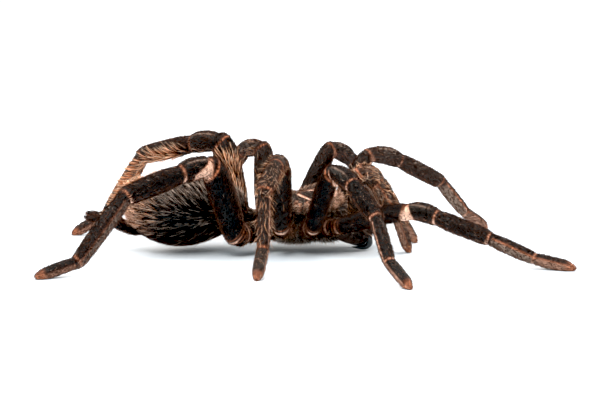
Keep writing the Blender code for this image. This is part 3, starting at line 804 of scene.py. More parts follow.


# The foot's grey pad: where round the tube it starts and is full, from 0 at the back to 1
# below, where its rusty edge lies, how much farther up it reaches on the first pair, and
# how strong it and its edge are on the hind pair. Two feet have a pale edge as well.
# The edge runs along the tube's sides and is partly the pad's own rim, partly painted rim
# light: it is pale on two feet whose sides make their outline, and faint on the hind pair,
# whose sides face the camera.
PAD_START = 0.42
PAD_FULL = 0.56
PAD_EDGE = 0.45
PAD_EDGE_WIDTH = 0.07
PAD_BROADER = {"leg_1": 0.14}
PAD_GREY = {"leg_4": 0.6}
PAD_EDGE_STRENGTH = {"leg_4": 0.3}
PAD_EDGE_RUST = 0.85
PAD_EDGE_CREAM = {"leg_2_right": 0.6, "leg_3_right": 0.6}


def foot_marks(name, number, share, under, last):
    """The grey pad below the last two tubes, its edge and the foot's worn, rusty tip."""
    kind = name.rsplit("_", 1)[0]
    tip = number == last
    foot = number >= last - 1
    broad = PAD_BROADER.get(kind, 0.0)
    pad = np.where(foot, smooth_step(PAD_START - broad, PAD_FULL - broad, under), 0.0)
    edge = np.where(foot, bump(under, PAD_EDGE - broad, PAD_EDGE_WIDTH), 0.0)
    edge = edge * PAD_EDGE_STRENGTH.get(kind, 1.0) * np.where(tip, 0.6, 1.0)
    worn = np.where(tip, 0.22 * pad + 0.5 * smooth_step(0.82, 1.0, share), 0.0)
    return PAD_GREY.get(kind, 1.0) * pad, edge, worn


# How grey the velvet is beyond the knee; the femur has half of it.
GREY_BLOOM = {"leg_1_right": 0.05, "leg_2_right": 0.02, "leg_3_right": 0.12, "leg_4_right": 0.01,
              "leg_1_left": 0.2, "leg_2_left": 0.13, "leg_3_left": 0.18, "leg_4_left": 0.02,
              "palp_right": 0.3, "palp_left": 0.34}
# The two bald stripes along each patella: their turn from its back and their width in
# degrees, and how pale they are.
STRIPE_TURN = 30
STRIPE_WIDTH = 5
STRIPE_CREAM = 0.22


def limb_marks(name, points, number, share, turn, bones):
    """A limb's cream, rust and grey, each from 0 to 1, and the bald stripes of its patella."""
    patella = [bone[0] for bone in bones].index("patella")
    under = 0.5 - 0.5 * np.cos(np.radians(turn))
    cream, rust = joint_marks(name, points, under, bones)
    if name in KNEE_SKIN:
        web_cream, web_rust = knee_marks(name, points, bones)
        cream = np.maximum(cream, web_cream)
        rust = np.maximum(rust, web_rust)
    pad, edge, worn = foot_marks(name, number, share, under, len(bones) - 1)
    # The pad's rusty and pale edge: partly the pad's own rim, partly painted rim light.
    rust = np.maximum(np.maximum(rust, PAD_EDGE_RUST * edge), worn)
    cream = np.maximum(cream, PAD_EDGE_CREAM.get(name, 0.0) * edge)
    bloom = np.where(number >= patella, GREY_BLOOM[name], 0.5 * GREY_BLOOM[name])
    stripe = np.where(number == patella, smooth_step(0.1, 0.2, share) * smooth_step(0.95, 0.8, share), 0.0)
    stripe = stripe * bump(np.abs(turn), STRIPE_TURN, STRIPE_WIDTH)
    cream = np.maximum(cream, STRIPE_CREAM * stripe)
    return {"cream": cream, "rust": np.clip(rust, 0, 1), "grey": np.maximum(pad, bloom)}, stripe


def limb_unwrap(number, share, turn, bones):
    """A limb's flat pattern: the way along it, and the turn round it."""
    ends = np.cumsum([0] + [(end - start).length for _, start, end, _, _ in bones])
    far = (ends[number] + np.clip(share, 0, 1) * np.diff(ends)[number]) / ends[-1]
    return np.stack([far, (turn + 180) / 360], 1)


# Velvet lies towards the foot, as long, wide and steep on one limb as on another: lengths
# and width in millimetres, lift in degrees.
VELVET_PER_SQUARE = 12.0
VELVET_LENGTH = {"coxa": 1.6, "trochanter": 1.5, "femur": 1.2, "patella": 1.15, "tibia": 1.25,
                 "metatarsus": 1.15, "tarsus": 0.95}
VELVET_WIDTH = 0.16
VELVET_LIFT = 34


def velvet_plan(name, bones):
    """How the velvet stands on one limb."""
    def plan(roots, outward, random):
        count = len(roots)
        number, share, turn = limb_place(roots, bones)
        marks, stripe = limb_marks(name, roots, number, share, turn, bones)
        kept = random.random(count) > 0.6 * marks["cream"] + 0.5 * stripe
        speckle = random.uniform(0.5, 1.0, count)
        marks = {mark: values * speckle for mark, values in marks.items()}
        lengths = np.array([VELVET_LENGTH[bone[0]] for bone in bones])[number] * MM
        lift = random.normal(VELVET_LIFT, 7, count)
        return {"kept": kept, "marks": marks, "lift": lift, "tip_lift": lift,
                "lie": limb_lie(number, bones) + random.normal(0, 0.16, (count, 3)),
                "length": lengths * random.uniform(0.6, 1.15, count),
                "width": random.uniform(0.8, 1.2, count) * VELVET_WIDTH * MM,
                "unwrap": limb_unwrap(number, share, turn, bones)}
    return plan


# Long bristles stand among the velvet: hairs on each square millimetre, length and lift.
# The third legs are shaggy, and the palps' hairs are wider and stray more from their way.
BRISTLES = {"coxa": (1.4, 2.0, 42), "trochanter": (1.5, 2.0, 44), "femur": (0.05, 1.8, 26),
            "patella": (0.22, 2.0, 26), "tibia": (0.25, 2.2, 26), "metatarsus": (0.25, 1.8, 26),
            "tarsus": (0.35, 1.3, 24)}
SHAGGY_BRISTLES = {"coxa": (1.4, 2.2, 42), "trochanter": (1.5, 2.2, 44), "femur": (0.12, 3.0, 36),
                   "patella": (0.5, 3.0, 32), "tibia": (1.0, 3.4, 34), "metatarsus": (0.6, 3.6, 38),
                   "tarsus": (0.5, 1.8, 26)}
PALP_BRISTLES = {"coxa": (0.8, 2.2, 42), "trochanter": (0.8, 2.2, 42), "femur": (0.4, 2.6, 28),
                 "patella": (1.1, 3.2, 16), "tibia": (1.2, 3.4, 14), "tarsus": (0.9, 1.6, 20)}
BRISTLES_MOST = 2.4
LEG_STRAY = 0.3
PALP_STRAY = 0.8
PALP_BRISTLE_WIDTH = 1.5


def bristle_plan(name, bones, table):
    """How the long bristles stand on one limb."""
    def plan(roots, outward, random):
        count = len(roots)
        number, share, turn = limb_place(roots, bones)
        marks, _ = limb_marks(name, roots, number, share, turn, bones)
        thick, long, raised = (np.array([table[bone[0]][k] for bone in bones])[number] for k in range(3))
        kept = (random.random(count) < thick / BRISTLES_MOST) & (marks["cream"] < 0.3)
        lift = random.normal(raised, 9)
        palp = name.startswith("palp")
        stray = PALP_STRAY if palp else LEG_STRAY
        wider = PALP_BRISTLE_WIDTH if palp else 1.0
        return {"kept": kept, "lift": lift, "tip_lift": lift - random.uniform(5, 30, count),
                "lie": limb_lie(number, bones) + random.normal(0, stray, (count, 3)),
                "length": long * random.uniform(0.5, 1.2, count) * MM,
                "width": random.uniform(0.09, 0.13, count) * wider * MM,
                "unwrap": limb_unwrap(number, share, turn, bones)}
    return plan


# The hind legs carry a golden comb on the side that faces the body. On the tubes beyond the
# knee it is rooted low and sweeps up over them; on the left femur it points to the knee.
# For each part: its first and last share, hairs a square millimetre, length, where round
# the tube it starts and ends (-1 at the back, 1 below), and its lean along and to the back.
COMB = {"femur": (0.1, 0.92, 2.0, 3.8, -1.0, 0.3, 1.0, -0.2),
        "patella": (0.1, 0.8, 0.4, 2.8, 0.4, 1.0, 0.5, 0.9),
        "tibia": (0.04, 0.94, 2.0, 5.6, 0.25, 1.0, 0.3, 1.0),
        "metatarsus": (0.0, 0.85, 3.2, 5.0, -0.1, 1.0, 0.25, 1.0)}
RIGHT_COMB = {"tibia": (0.2, 0.97, 1.7, 3.2, -1.2, -0.3, 0.5, 1.0),
              "metatarsus": (0.0, 0.4, 0.8, 2.2, -0.8, 0.0, 0.6, 0.9)}
NO_COMB = (2.0, 2.0, 0.0, 0.0, 0.0, 0.0, 1.0, 1.0)
COMB_MOST = 3.4
# Which comb each hind leg has, and the way towards the body.
COMBS = {"leg_4_right": (RIGHT_COMB, np.array([0.0, 1.0, 0.0])),
         "leg_4_left": (COMB, np.array([0.0, -1.0, 0.0]))}


def comb_plan(bones, table, inner):
    """How the comb stands on a hind leg. Inner is the way towards the body."""
    def plan(roots, outward, random):
        count = len(roots)
        number, share, turn = limb_place(roots, bones)
        axes = limb_lie(number, bones)
        rows = np.array([table.get(bone[0], NO_COMB) for bone in bones])[number]
        first, last, thick, long, low_from, low_to, ahead, over = rows.T
        back = np.array([bone[3] for bone in bones])[number]
        side_way = unit(np.cross(axes, back) * np.sign((np.cross(axes, back) @ inner))[:, None])
        facing = (outward * side_way).sum(1)
        low = -(outward * back).sum(1)
        place = smooth_step(-0.1, 0.2, facing) * smooth_step(-0.15, 0.15, low - low_from)
        place = place * smooth_step(0.15, -0.15, low - low_to)
        inside = smooth_step(0, 0.08, share - first) * smooth_step(0, 0.1, last - share)
        kept = random.random(count) < place * inside * thick / COMB_MOST
        lift = random.normal(30, 6, count)
        way = axes * ahead[:, None] + back * over[:, None]
        return {"kept": kept, "lift": lift, "tip_lift": lift - random.uniform(5, 15, count),
                "lie": way + random.normal(0, 0.09, (count, 3)),
                "length": long * random.uniform(0.75, 1.05, count) * MM,
                "width": random.uniform(0.18, 0.25, count) * MM,
                "unwrap": limb_unwrap(number, share, turn, bones)}
    return plan


def horn(name, places, radii, material, slot, *nodes):
    """A bare curved horn, thinning to its point."""
    curve = bpy.data.curves.new(name, "CURVE")
    curve.dimensions = "3D"
    curve.bevel_depth = MM
    curve.bevel_resolution = 5
    curve.use_fill_caps = True
    spline = curve.splines.new("NURBS")
    spline.points.add(len(places) - 1)
    spline.use_endpoint_u = True
    spline.order_u = 3
    spline.resolution_u = 8
    for point, place, radius in zip(spline.points, places, radii):
        point.co = (*place, 1.0)
        point.radius = radius
    piece = bpy.data.objects.new(name, curve)
    scene.collection.objects.link(piece)
    bpy.ops.object.select_all(action="DESELECT")
    piece.select_set(True)
    bpy.context.view_layer.objects.active = piece
    bpy.ops.object.convert(target="MESH")
    piece = bpy.context.object
    bpy.ops.object.mode_set(mode="EDIT")
    bpy.ops.mesh.select_all(action="SELECT")
    bpy.ops.mesh.remove_doubles(threshold=0.001 * MM)
    bpy.ops.mesh.normals_make_consistent(inside=False)
    bpy.ops.object.mode_set(mode="OBJECT")
    piece.data.shade_smooth()
    piece.data.materials.clear()
    piece.data.materials.append(material)
    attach(piece, "root")
    if nodes:
        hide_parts(*nodes)


# Polished chitin: the bare black horn of fangs and claws, with a wet-looking gloss.
polished_chitin, tree, output = new_material("polished_black_chitin")
surface = add_node(tree, "BsdfPrincipled", {"Base Color": hex_colour("#0B0706"), "Roughness": 0.16,
                                            "IOR": 1.56, "Coat Weight": 0.4, "Coat Roughness": 0.08})
tree.links.new(surface.outputs[0], output.inputs[0])

# A claw's course in millimetres from the foot's end, ahead and up, and how far aside it sits.
CLAW_ROUTE = ((-0.5, 0.15), (0.4, 0.2), (0.95, -0.2), (1.05, -0.95))
CLAW_RADII = (0.26, 0.24, 0.18, 0.04)
CLAW_ASIDE = 0.35


def add_claws(name, start, end):
    """Two small claws side by side at the end of a foot."""
    ahead = Vector((end.x - start.x, end.y - start.y, 0.0)).normalized()
    aside = Vector((-ahead.y, ahead.x, 0.0))
    for side, word in ((-1, "a"), (1, "b")):
        seat = end + aside * CLAW_ASIDE * side * MM
        places = [seat + ahead * along * MM + Vector((0, 0, up * MM)) for along, up in CLAW_ROUTE]
        horn(name + "_claw_" + word, places, CLAW_RADII, polished_chitin, "fang_shell")


for index, name in enumerate(LIMBS):
    bones = limb_bones(name)
    tubes = []
    for part, start, end, _, radius in bones:
        shape = SEGMENT_SHAPE.get(part, COXA_SHAPE)
        stations = tube_stations(shape, (end - start).length, (radius - FUR_DEPTH) * MM)
        tubes.append(turned_piece(start, end, stations))
    if name in KNEE_SKIN:
        tubes += knee_web(name, bones)
    skin = melt_together(name + "_skin", tubes, LIMB_VOXEL, rounds=3)
    points = arch_limb(mesh_points(skin.data)[0], bones)
    points[:, 2] = np.maximum(points[:, 2], SOLE_HEIGHT)
    skin.data.vertices.foreach_set("co", points.reshape(-1))
    marks, _ = limb_marks(name, points, *limb_place(points, bones), bones)
    parts = [name + "_" + bone[0] for bone in bones if bone[0] in SEGMENT_SHAPE]
    finish_skin(skin, felted_shell, "femur_hair", *parts, **marks)
    grow(name + "_velvet", skin, velvet_plan(name, bones), velvet,
         per_square=VELVET_PER_SQUARE, seed=100 + index)
    table, bristles = BRISTLES, rusty_bristles
    if name.startswith("palp"):
        table, bristles = PALP_BRISTLES, golden_bristles
    if name.startswith("leg_3"):
        table, bristles = SHAGGY_BRISTLES, golden_bristles
    grow(name + "_bristles", skin, bristle_plan(name, bones, table), bristles,
         per_square=BRISTLES_MOST, seed=200 + index, rings=2, soft=False)
    if name in COMBS:
        grow(name + "_comb", skin, comb_plan(bones, *COMBS[name]), golden_bristles,
             per_square=COMB_MOST, seed=300 + index, rings=3, soft=False)
    add_claws(name, *bones[-1][1:3])

# The carapace.
# The shield over the front body, one plate of chitin under grey-black hair. Pale grooves
# run out from the pit at its middle, and its edge carries a fringe of rusty hair.

# Sizes in millimetres over the fur, with the rim's height over the floor.
CARAPACE_LENGTH = 29.4
CARAPACE_WIDTH = 27.0
CARAPACE_RIM = 15.2
THORAX_HEIGHT = 5.4
HEAD_RISE = 3.4
HEAD_NARROWING = 0.3
FOVEA_DEPTH = 1.6
CARAPACE_FUR = 0.4
# The bare shield is smaller by the fur's depth, over its mean half size of 14 mm.
CARAPACE_INSET = 1 - CARAPACE_FUR / 14
# The grooves' headings from the head in degrees, the bend of each, their depth in
# millimetres, and their width and the pit's place in shares of the shield.
GROOVES = (40, 70, 100, 128, 156)
GROOVE_BEND = 8
GROOVE_DEPTH = 0.35
GROOVE_WIDTH = 0.032
FOVEA_X = -0.12


def groove_depth(x, y):
    """How deep the shield's grooves are at a place on it, from 0 to 1."""
    away = np.hypot(x - FOVEA_X, y)
    angle = np.degrees(np.arctan2(np.abs(y), x - FOVEA_X))
    depth = np.zeros(len(x))
    for heading in GROOVES:
        bent = angle - heading - GROOVE_BEND * np.sin(away * 4)
        across = away * np.radians(bent)
        depth = np.maximum(depth, np.exp(-(across / GROOVE_WIDTH) ** 2) * smooth_step(0.12, 0.3, away))
    return depth * (1 - smooth_step(0.78, 0.95, np.hypot(x, y)))


def unit_ball(segments, rings):
    """A ball of radius one to be shaped point by point, and its points."""
    bpy.ops.object.select_all(action="DESELECT")
    bpy.ops.mesh.primitive_uv_sphere_add(segments=segments, ring_count=rings, radius=1.0)
    ball = bpy.context.object
    return ball, mesh_points(ball.data)[0]


def reshape(piece, points, place=(0.0, 0.0, 0.0)):
    """Moves a piece's vertices to points in millimetres from a place on the front body."""
    moved = (points + np.array(BODY_PLACE) + np.array(place)) * MM
    piece.data.vertices.foreach_set("co", moved.reshape(-1))
    piece.data.update()


def shield_narrowing(x):
    """How much of its full width the shield has at a place along it."""
    return 1.0 - HEAD_NARROWING * smooth_step(0.0, 0.9, x)


carapace, ball = unit_ball(160, 96)
carapace.name = "carapace_shield"
x, y, z = ball.T
blunt = 1.25 * x - 0.25 * x ** 3
half_width = CARAPACE_WIDTH / 2 * shield_narrowing(x)
head = smooth_step(-0.15, 0.5, x) * (1.0 - smooth_step(0.3, 0.85, np.abs(y)))
fovea = np.exp(-((x - FOVEA_X) / 0.07) ** 2 - (y / 0.16) ** 2)
height = THORAX_HEIGHT + HEAD_RISE * head - FOVEA_DEPTH * fovea
height = height - GROOVE_DEPTH * groove_depth(x, y) - CARAPACE_FUR
rise = np.where(z > 0, height * np.abs(z) ** 0.65, 1.6 * z)
plan_x, plan_y = CARAPACE_LENGTH / 2 * blunt * CARAPACE_INSET, half_width * y * CARAPACE_INSET
reshape(carapace, np.stack([plan_x, plan_y, CARAPACE_RIM + rise], 1))


def carapace_place(points):
    """Where points on the shield lie on its plan, from -1 to 1 along and across."""
    plan = points / MM - np.array(BODY_PLACE)
    along = np.clip(plan[:, 0] / (CARAPACE_LENGTH / 2 * CARAPACE_INSET), -1, 1)
    x = along * (0.8 + 0.2 * np.abs(along) ** 2)
    y = plan[:, 1] / (CARAPACE_WIDTH / 2 * CARAPACE_INSET * shield_narrowing(x))
    return x, np.clip(y, -1, 1)


def carapace_marks(points, normals):
    """Salmon grooves, ragged rusty patches at the rim and a grey bloom on the shield."""
    x, y = carapace_place(points)
    above = smooth_step(0.0, 0.3, normals[:, 2] + 0.3)
    away = np.hypot(x, y)
    ragged = 0.1 * np.sin(x * 31 + y * 9) + 0.08 * np.sin(x * 57 - y * 31)
    rim = smooth_step(0.9, 0.96, away + ragged) * smooth_step(1.06, 1.0, away - ragged)
    grooves = groove_depth(x, y) * above
    front = smooth_step(0.6, 0.8, x) * above
    patches = smooth_step(0.05, 0.4, np.abs(np.sin(x * 19 + 3) * np.cos(y * 13 - x * 7)))
    pale_rim = np.maximum(0.75 * front, 0.4 * rim * patches)
    return {"cream": np.maximum(0.9 * smooth_step(0.25, 0.8, grooves), pale_rim),
            "rust": np.maximum(rim * above * (0.3 + 0.7 * patches), 0.9 * smooth_step(0.15, 0.6, grooves)),
            "grey": 0.15 * above * (1 - grooves)}


def carapace_unwrap(x, y):
    """The shield's flat pattern: its plan."""
    return np.stack([x + 1, y + 1], 1) / 2


def carapace_plan(roots, outward, random):
    """Short hair that lies outward from the pit, and over the head forward."""
    count = len(roots)
    x, y = carapace_place(roots)
    marks = carapace_marks(roots, outward)
    lie = np.stack([x - FOVEA_X + 0.3 * smooth_step(0, 0.5, x), y * 0.9, np.zeros(len(x))], 1)
    kept = marks["cream"] < 0.25 + 0.6 * random.random(count)
    return {"kept": kept, "marks": marks, "lift": random.normal(26, 8, count),
            "tip_lift": random.normal(14, 8, count),
            "lie": unit(lie) + random.normal(0, 0.22, (count, 3)),
            "length": random.uniform(0.7, 1.4, count) * MM,
            "width": random.uniform(0.12, 0.19, count) * MM, "unwrap": carapace_unwrap(x, y)}


def carapace_fringe_plan(roots, outward, random):
    """Long rusty hair round the shield's edge and thinly over it."""
    count = len(roots)
    x, y = carapace_place(roots)
    rim = smooth_step(0.86, 0.98, np.hypot(x, y)) * (outward[:, 2] > -0.35)
    front = smooth_step(0.55, 0.85, x)
    lie = np.stack([x, y, np.full(len(x), 0.2)], 1)
    return {"kept": random.random(count) < np.maximum(rim, 0.12),
            "lift": random.normal(38, 12, count),
            "tip_lift": random.normal(10, 12, count) + 30 * front,
            "lie": unit(lie) + random.normal(0, 0.3, (count, 3)),
            "length": random.uniform(1.4, 3.0, count) * MM,
            "width": random.uniform(0.13, 0.2, count) * MM, "unwrap": carapace_unwrap(x, y)}


finish_skin(carapace, felted_shell, "carapace_hair", "carapace",
            **carapace_marks(*mesh_points(carapace.data)))
grow("carapace_fur", carapace, carapace_plan, velvet, per_square=15.0, seed=21)
grow("carapace_grizzle", carapace, carapace_plan, grey_bristles, per_square=4.2, seed=23,
     soft=False)
grow("carapace_fringe", carapace, carapace_fringe_plan, rusty_bristles, per_square=5.0,
     seed=22, rings=2, soft=False)

# The eye mound.
# A low hump of the shield's own chitin on the head. It carries eight small eyes in two
# rows, each a clear domed lens set into it.
EYE_MOUND_SIZE = (1.4, 1.7, 1.2)
EYE_MOUND_HEIGHT = 0.3 * MM
# Each left eye in millimetres: ahead of the mound's middle, aside, above it, and its radius.
EYES = ((0.75, 0.45, 0.95, 0.42), (1.0, 1.15, 0.55, 0.36), (-0.35, 1.25, 0.75, 0.34),
        (-0.45, 0.72, 1.0, 0.28))
# How far the short hair keeps off a lens.
LENS_GAP = 0.12
SIDES = ((-1, "right"), (1, "left"))
mound_low, mound_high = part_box("eye_tubercle")
mound_place = (mound_low + mound_high) / 2
mound_place.z = mound_low.z + EYE_MOUND_HEIGHT
mound = add_ball(mound_place, EYE_MOUND_SIZE, 48, 30)
mound.name = "eye_mound"
finish_skin(mound, felted_shell, "carapace_hair", "eye_tubercle")


def eye_place(side, ahead, aside, above):
    """The middle of an eye's lens."""
    return mound_place + Vector((ahead, aside * side, above)) * MM


# Eye lens: clear cuticle over a dark cup, so it reads as a wet black bead.
lens_material, tree, output = new_material("clear_eye_cuticle")
surface = add_node(tree, "BsdfPrincipled", {"Base Color": hex_colour("#1A0E0A"), "Roughness": 0.05,
                                            "IOR": 1.45, "Coat Weight": 0.6, "Coat Roughness": 0.03})
tree.links.new(surface.outputs[0], output.inputs[0])
for side, word in SIDES:
    for index, (ahead, aside, above, radius) in enumerate(EYES):
        lens = add_ball(eye_place(side, ahead, aside, above), (radius, radius, radius), 24, 16)
        lens.name = "eye_" + word + "_" + str(index + 1)
        lens.data.shade_smooth()
        lens.data.materials.append(lens_material)
        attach(lens, "root")


def mound_plan(roots, outward, random):
    """Short hair on the mound that leaves the lenses clear."""
    count = len(roots)
    away = np.full(count, 1.0)
    for side, _ in SIDES:
        for ahead, aside, above, radius in EYES:
            middle = np.array(eye_place(side, ahead, aside, above))
            away = np.minimum(away, np.linalg.norm(roots - middle, axis=1) - (radius + LENS_GAP) * MM)
    local = (roots - np.array(mound_place)) / (2.0 * MM)
    return {"kept": (away > 0) & (outward[:, 2] > -0.2), "lift": random.normal(40, 10, count),
            "tip_lift": random.normal(20, 8, count),
            "lie": local + np.array([0.4, 0.0, 0.0]) + random.normal(0, 0.2, (count, 3)),
            "length": random.uniform(0.4, 0.8, count) * MM, "width": np.full(count, 0.1 * MM),
            "unwrap": np.clip(0.5 + 0.5 * local[:, :2], 0, 1)}


grow("eye_mound_fur", mound, mound_plan, velvet, per_square=26.0, seed=31)

# The jaws.
# Two stout basal joints hang side by side under the head, furred above and glossy black
# below, each with a curved fang folded back under it. The fangs are bare polished chitin.

# The left jaw's place and half sizes in millimetres, its tilt in degrees, and the least and
# the greatest length of its fur and its bristles.
CHELICERA_PLACE = (17.6, 3.66, 9.5)
CHELICERA_SIZE = (8.15, 3.2, 6.95)
CHELICERA_TILT = 30
JAW_FUR_LENGTH = (1.0, 1.7)
JAW_BRISTLE_LENGTH = (2.2, 4.2)
# The fang's seat on the body, ahead and up, its course from there ahead, inward and up, and
# its radii, in millimetres.
FANG_SEAT = (23.8, 4.6)
FANG_ROUTE = ((-0.4, 0.0, 1.0), (0.8, 0.0, -1.6), (-0.7, 0.1, -3.5), (-3.3, 0.3, -3.7),
              (-5.9, 0.5, -3.4))
FANG_RADII = (1.3, 1.25, 0.95, 0.65, 0.08)
# Jaw shell: thinly haired chitin with half a gloss and a faint warm sheen. Its brown base is
# lighter than the black chitin: painted light for the little light that reaches under the head.
jaw_shell = shell_material("half_gloss_jaw_shell", "#4A382F", roughness=0.3, sheen=0.15)


def jaw_frame(side):
    """A jaw's middle, its way forward and its way up, as arrays."""
    x, y, z = CHELICERA_PLACE
    tilt = math.radians(CHELICERA_TILT)
    forward = np.array([math.cos(tilt), 0.0, -math.sin(tilt)])
    return np.array(on_body(x, y * side, z)), forward, np.array([math.sin(tilt), 0.0, math.cos(tilt)])


def jaw_plan(side, long):
    """Hair that lies down the jaw, thick above and gone below. Long is 1 for its bristles."""
    def plan(roots, outward, random):
        count = len(roots)
        middle, forward, up = jaw_frame(side)
        local = (roots - middle) / MM
        above = (outward * up).sum(1)
        ahead = local @ forward / CHELICERA_SIZE[0]
        around = np.arctan2(local[:, 1] * side, local @ up)
        kept = random.random(count) < smooth_step(-0.55 + 0.4 * long, -0.1 + 0.4 * long, above)
        length = random.uniform(*(JAW_BRISTLE_LENGTH if long else JAW_FUR_LENGTH), count)
        lift = random.normal(30 + 12 * long, 9, count)
        return {"kept": kept, "lift": lift, "tip_lift": lift - 20 * random.random(count),
                "marks": {"grey": 0.5 * random.random(count) * (1.0 - long)},
                "lie": forward + np.array([0.0, 0.0, -0.25]) + random.normal(0, 0.2, (count, 3)),
                "length": length * MM, "width": random.uniform(0.13, 0.18, count) * MM,
                "unwrap": np.stack([np.clip(ahead / 2 + 0.5, 0, 1), around / (2 * math.pi) + 0.5], 1)}
    return plan


for side, word in SIDES:
    x, y, z = CHELICERA_PLACE
    jaw = add_ball(on_body(x, y * side, z), CHELICERA_SIZE, 72, 44, (0.0, CHELICERA_TILT, 0.0))
    jaw.name = "chelicera_" + word + "_shell"
    finish_skin(jaw, jaw_shell, "jaw_shell", "chelicera_" + word)
    grow("chelicera_" + word + "_fur", jaw, jaw_plan(side, 0), velvet,
         per_square=12.0, seed=41 + side)
    grow("chelicera_" + word + "_bristles", jaw, jaw_plan(side, 1), rusty_bristles,
         per_square=0.9, seed=44 + side, rings=2, soft=False)
    places = [on_body(FANG_SEAT[0] + ahead, (y - inward) * side, FANG_SEAT[1] + above)
              for ahead, inward, above in FANG_ROUTE]
    horn("fang_" + word + "_horn", places, FANG_RADII, polished_chitin, "fang_shell", "fang_" + word)

# The abdomen.
# A soft leathery bag that hangs on a thin waist, covered in black velvet with long grey
# and rusty bristles that lie back over it.

# Its place and half sizes over the fur in millimetres.
ABDOMEN_PLACE = (-39.4, 0.0, 15.2)
ABDOMEN_SIZE = (22.0, 16.2, 13.8)
# The share of that size that the skin has under its fur, and how much the front narrows.
ABDOMEN_CORE = 0.955
ABDOMEN_NARROWING = 0.2
ABDOMEN_VOXEL = 0.5 * MM
# The waist's two ends on the body, and its distances and radii from its front end.
WAIST_FRONT = (-13.4, 0.0, 10.6)
WAIST_REAR = (-22.0, 0.0, 11.9)
WAIST_STATIONS = ((-1.0, 2.6), (1.5, 2.0), (6.0, 1.9), (9.0, 2.4))
bag, ball = unit_ball(128, 64)
x, y, z = ball.T
narrow = 1 - ABDOMEN_NARROWING * smooth_step(-0.3, 1.0, x)
shaped = np.stack([x, y * narrow, z * narrow], 1) * np.array(ABDOMEN_SIZE) * ABDOMEN_CORE
reshape(bag, shaped, ABDOMEN_PLACE)
waist = turned_piece(on_body(*WAIST_FRONT), on_body(*WAIST_REAR),
                     [(place * MM, radius * MM) for place, radius in WAIST_STATIONS])
abdomen = melt_together("abdomen_skin", [bag, waist], ABDOMEN_VOXEL, rounds=4)
finish_skin(abdomen, felted_shell, "abdomen_hair", "abdomen")


def abdomen_place(points):
    """Points in the bag's own measure, from -1 at its rear and under side to 1."""
    return (points - np.array(on_body(*ABDOMEN_PLACE))) / (np.array(ABDOMEN_SIZE) * MM)


def abdomen_unwrap(local):
    """The bag's flat pattern: the turn round it, and the way along it."""
    turn = (np.degrees(np.arctan2(local[:, 1], local[:, 2])) + 180) / 360
    return np.stack([turn, np.clip((local[:, 0] + 1) / 2, 0, 1)], 1)


def abdomen_velvet_plan(roots, outward, random):
    """Close black velvet that turns rusty at the rear and greyer below.

    The rear's rust is partly the hair's colour, partly painted sheen where light catches the
    rear. The grey, strongest below, is painted light that lifts the shaded under side.
    """
    count = len(roots)
    local = abdomen_place(roots)
    rear = smooth_step(0.3, 0.95, -local[:, 0]) * smooth_step(-0.6, 0.2, local[:, 2])
    below = smooth_step(0.1, -0.5, local[:, 2])
    return {"kept": np.full(count, True), "lift": random.normal(26, 7, count),
            "tip_lift": random.normal(18, 7, count),
            # Rust at the upper rear: partly the hair's colour, partly painted sheen.
            "marks": {"rust": 0.9 * rear * random.random(count),
                      # Grey, strongest below: painted light that lifts the shaded under side.
                      "grey": 0.12 + (0.2 + 0.6 * random.random(count)) * below},
            "lie": np.array([-1.0, 0.0, 0.05]) + random.normal(0, 0.2, (count, 3)),
            "length": random.uniform(1.1, 2.0, count) * MM, "width": np.full(count, 0.16 * MM),
            "unwrap": abdomen_unwrap(local)}


def abdomen_bristle_plan(roots, outward, random):
    """Long curved bristles, grey on the upper side, rusty at the rear and few below.

    The rust and cream at the rear are partly the hairs' colour, partly painted sheen.
    """
    count = len(roots)
    local = abdomen_place(roots)
    upper = smooth_step(-0.2, 0.4, local[:, 2])
    rear = smooth_step(0.35, 0.95, -local[:, 0])
    lie = np.tile(np.array([-1.0, 0.0, 0.0]), (count, 1))
    lie[:, 2] = 1.1 * upper * (1 - rear)
    low = smooth_step(-0.75, -0.1, local[:, 2])
    thick = 0.06 + 0.5 * upper * (1 - 0.3 * rear) + 0.9 * rear * low + 0.16 * low
    return {"kept": random.random(count) < thick, "lift": random.normal(26, 6, count),
            "tip_lift": random.normal(10, 8, count),
            # Rust and cream at the rear: partly the hairs' colour, partly painted sheen.
            "marks": {"rust": rear * random.uniform(0.3, 1.0, count),
                      "cream": 0.6 * rear * random.random(count)},
            "lie": lie + random.normal(0, 0.09, (count, 3)),
            "length": random.uniform(2.6, 5.0, count) * MM,
            "width": random.uniform(0.09, 0.13, count) * MM, "unwrap": abdomen_unwrap(local)}


def abdomen_rear_plan(roots, outward, random):
    """Tan bristles over the rear, fewest below. Their pale gold is partly painted sheen."""
    count = len(roots)
    local = abdomen_place(roots)
    hair = abdomen_bristle_plan(roots, outward, random)
    rear = smooth_step(0.3, 0.85, -local[:, 0]) * smooth_step(-0.8, 0.1, local[:, 2])
    hair["kept"] = random.random(count) < 0.85 * rear
    hair["marks"] = {"rust": 0.3 * random.random(count)}
    hair["length"] = random.uniform(2.0, 3.6, count) * MM
    return hair


grow("abdomen_velvet", abdomen, abdomen_velvet_plan, velvet, per_square=9.5, seed=51)
grow("abdomen_rear_bristles", abdomen, abdomen_rear_plan, golden_bristles,
     per_square=2.8, seed=53, rings=3, soft=False)
grow("abdomen_bristles", abdomen, abdomen_bristle_plan, grey_bristles,
     per_square=2.3, seed=52, rings=3, soft=False)

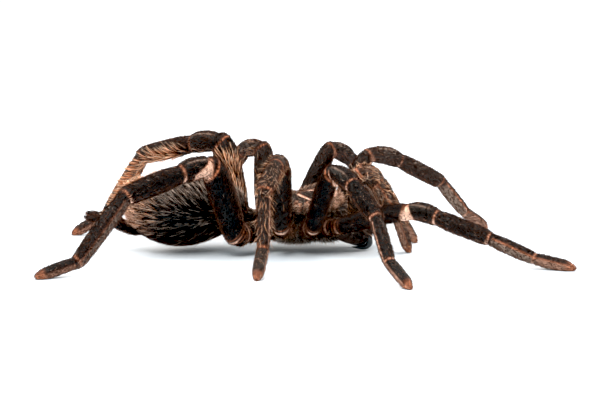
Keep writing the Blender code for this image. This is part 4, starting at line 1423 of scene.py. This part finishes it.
# The spinnerets.
# Two long soft tubes of three joints each, furred in brown, that draw out the silk. They
# grow from the under side of the abdomen's end.

# The left one's course on the body and its radii, in millimetres.
SPINNERET_ROUTE = ((-52.0, 3.2, 8.4), (-57.0, 3.4, 7.9), (-60.8, 3.6, 8.8), (-64.6, 3.9, 10.8),
                   (-69.0, 4.4, 12.0), (-73.8, 4.8, 12.9))
SPINNERET_RADII = (1.6, 1.7, 1.6, 1.4, 1.1, 0.8)
SPINNERET_MEAN_RADIUS = 1.5
SPINNERET_VOXEL = 0.25 * MM


def spinneret_plan(route):
    """Brown hair that lies towards the tube's tip."""
    def plan(roots, outward, random):
        count = len(roots)
        up = Vector((0.0, 0.0, 1.0))
        bones = [("joint", start, end, up, SPINNERET_MEAN_RADIUS) for start, end in zip(route, route[1:])]
        number, share, turn = limb_place(roots, bones)
        return {"kept": np.full(count, True), "lift": random.normal(30, 8, count),
                "tip_lift": random.normal(20, 8, count),
                "marks": {"rust": 0.5 * random.random(count), "grey": 0.5 * random.random(count)},
                "lie": limb_lie(number, bones) + random.normal(0, 0.18, (count, 3)),
                "length": random.uniform(0.9, 1.9, count) * MM,
                "width": random.uniform(0.12, 0.17, count) * MM,
                "unwrap": limb_unwrap(number, share, turn, bones)}
    return plan


for side, word in SIDES:
    route = [on_body(x, y * side, z) for x, y, z in SPINNERET_ROUTE]
    tubes = []
    for start, end, thick, thin in zip(route, route[1:], SPINNERET_RADII, SPINNERET_RADII[1:]):
        length = (end - start).length
        stations = [(-0.7 * thick * MM, 0.4 * thick * MM), (0.0, 0.9 * thick * MM),
                    (0.5 * length, thick * MM), (length, 0.92 * thin * MM),
                    (length + 0.6 * thin * MM, 0.4 * thin * MM)]
        tubes.append(turned_piece(start, end, stations, sides=16))
    spinneret = melt_together("spinneret_" + word + "_skin", tubes, SPINNERET_VOXEL, rounds=3)
    finish_skin(spinneret, felted_shell, "spinneret_hair", "spinneret_" + word)
    grow("spinneret_" + word + "_fur", spinneret, spinneret_plan(route), velvet,
         per_square=12.0, seed=61 + side)
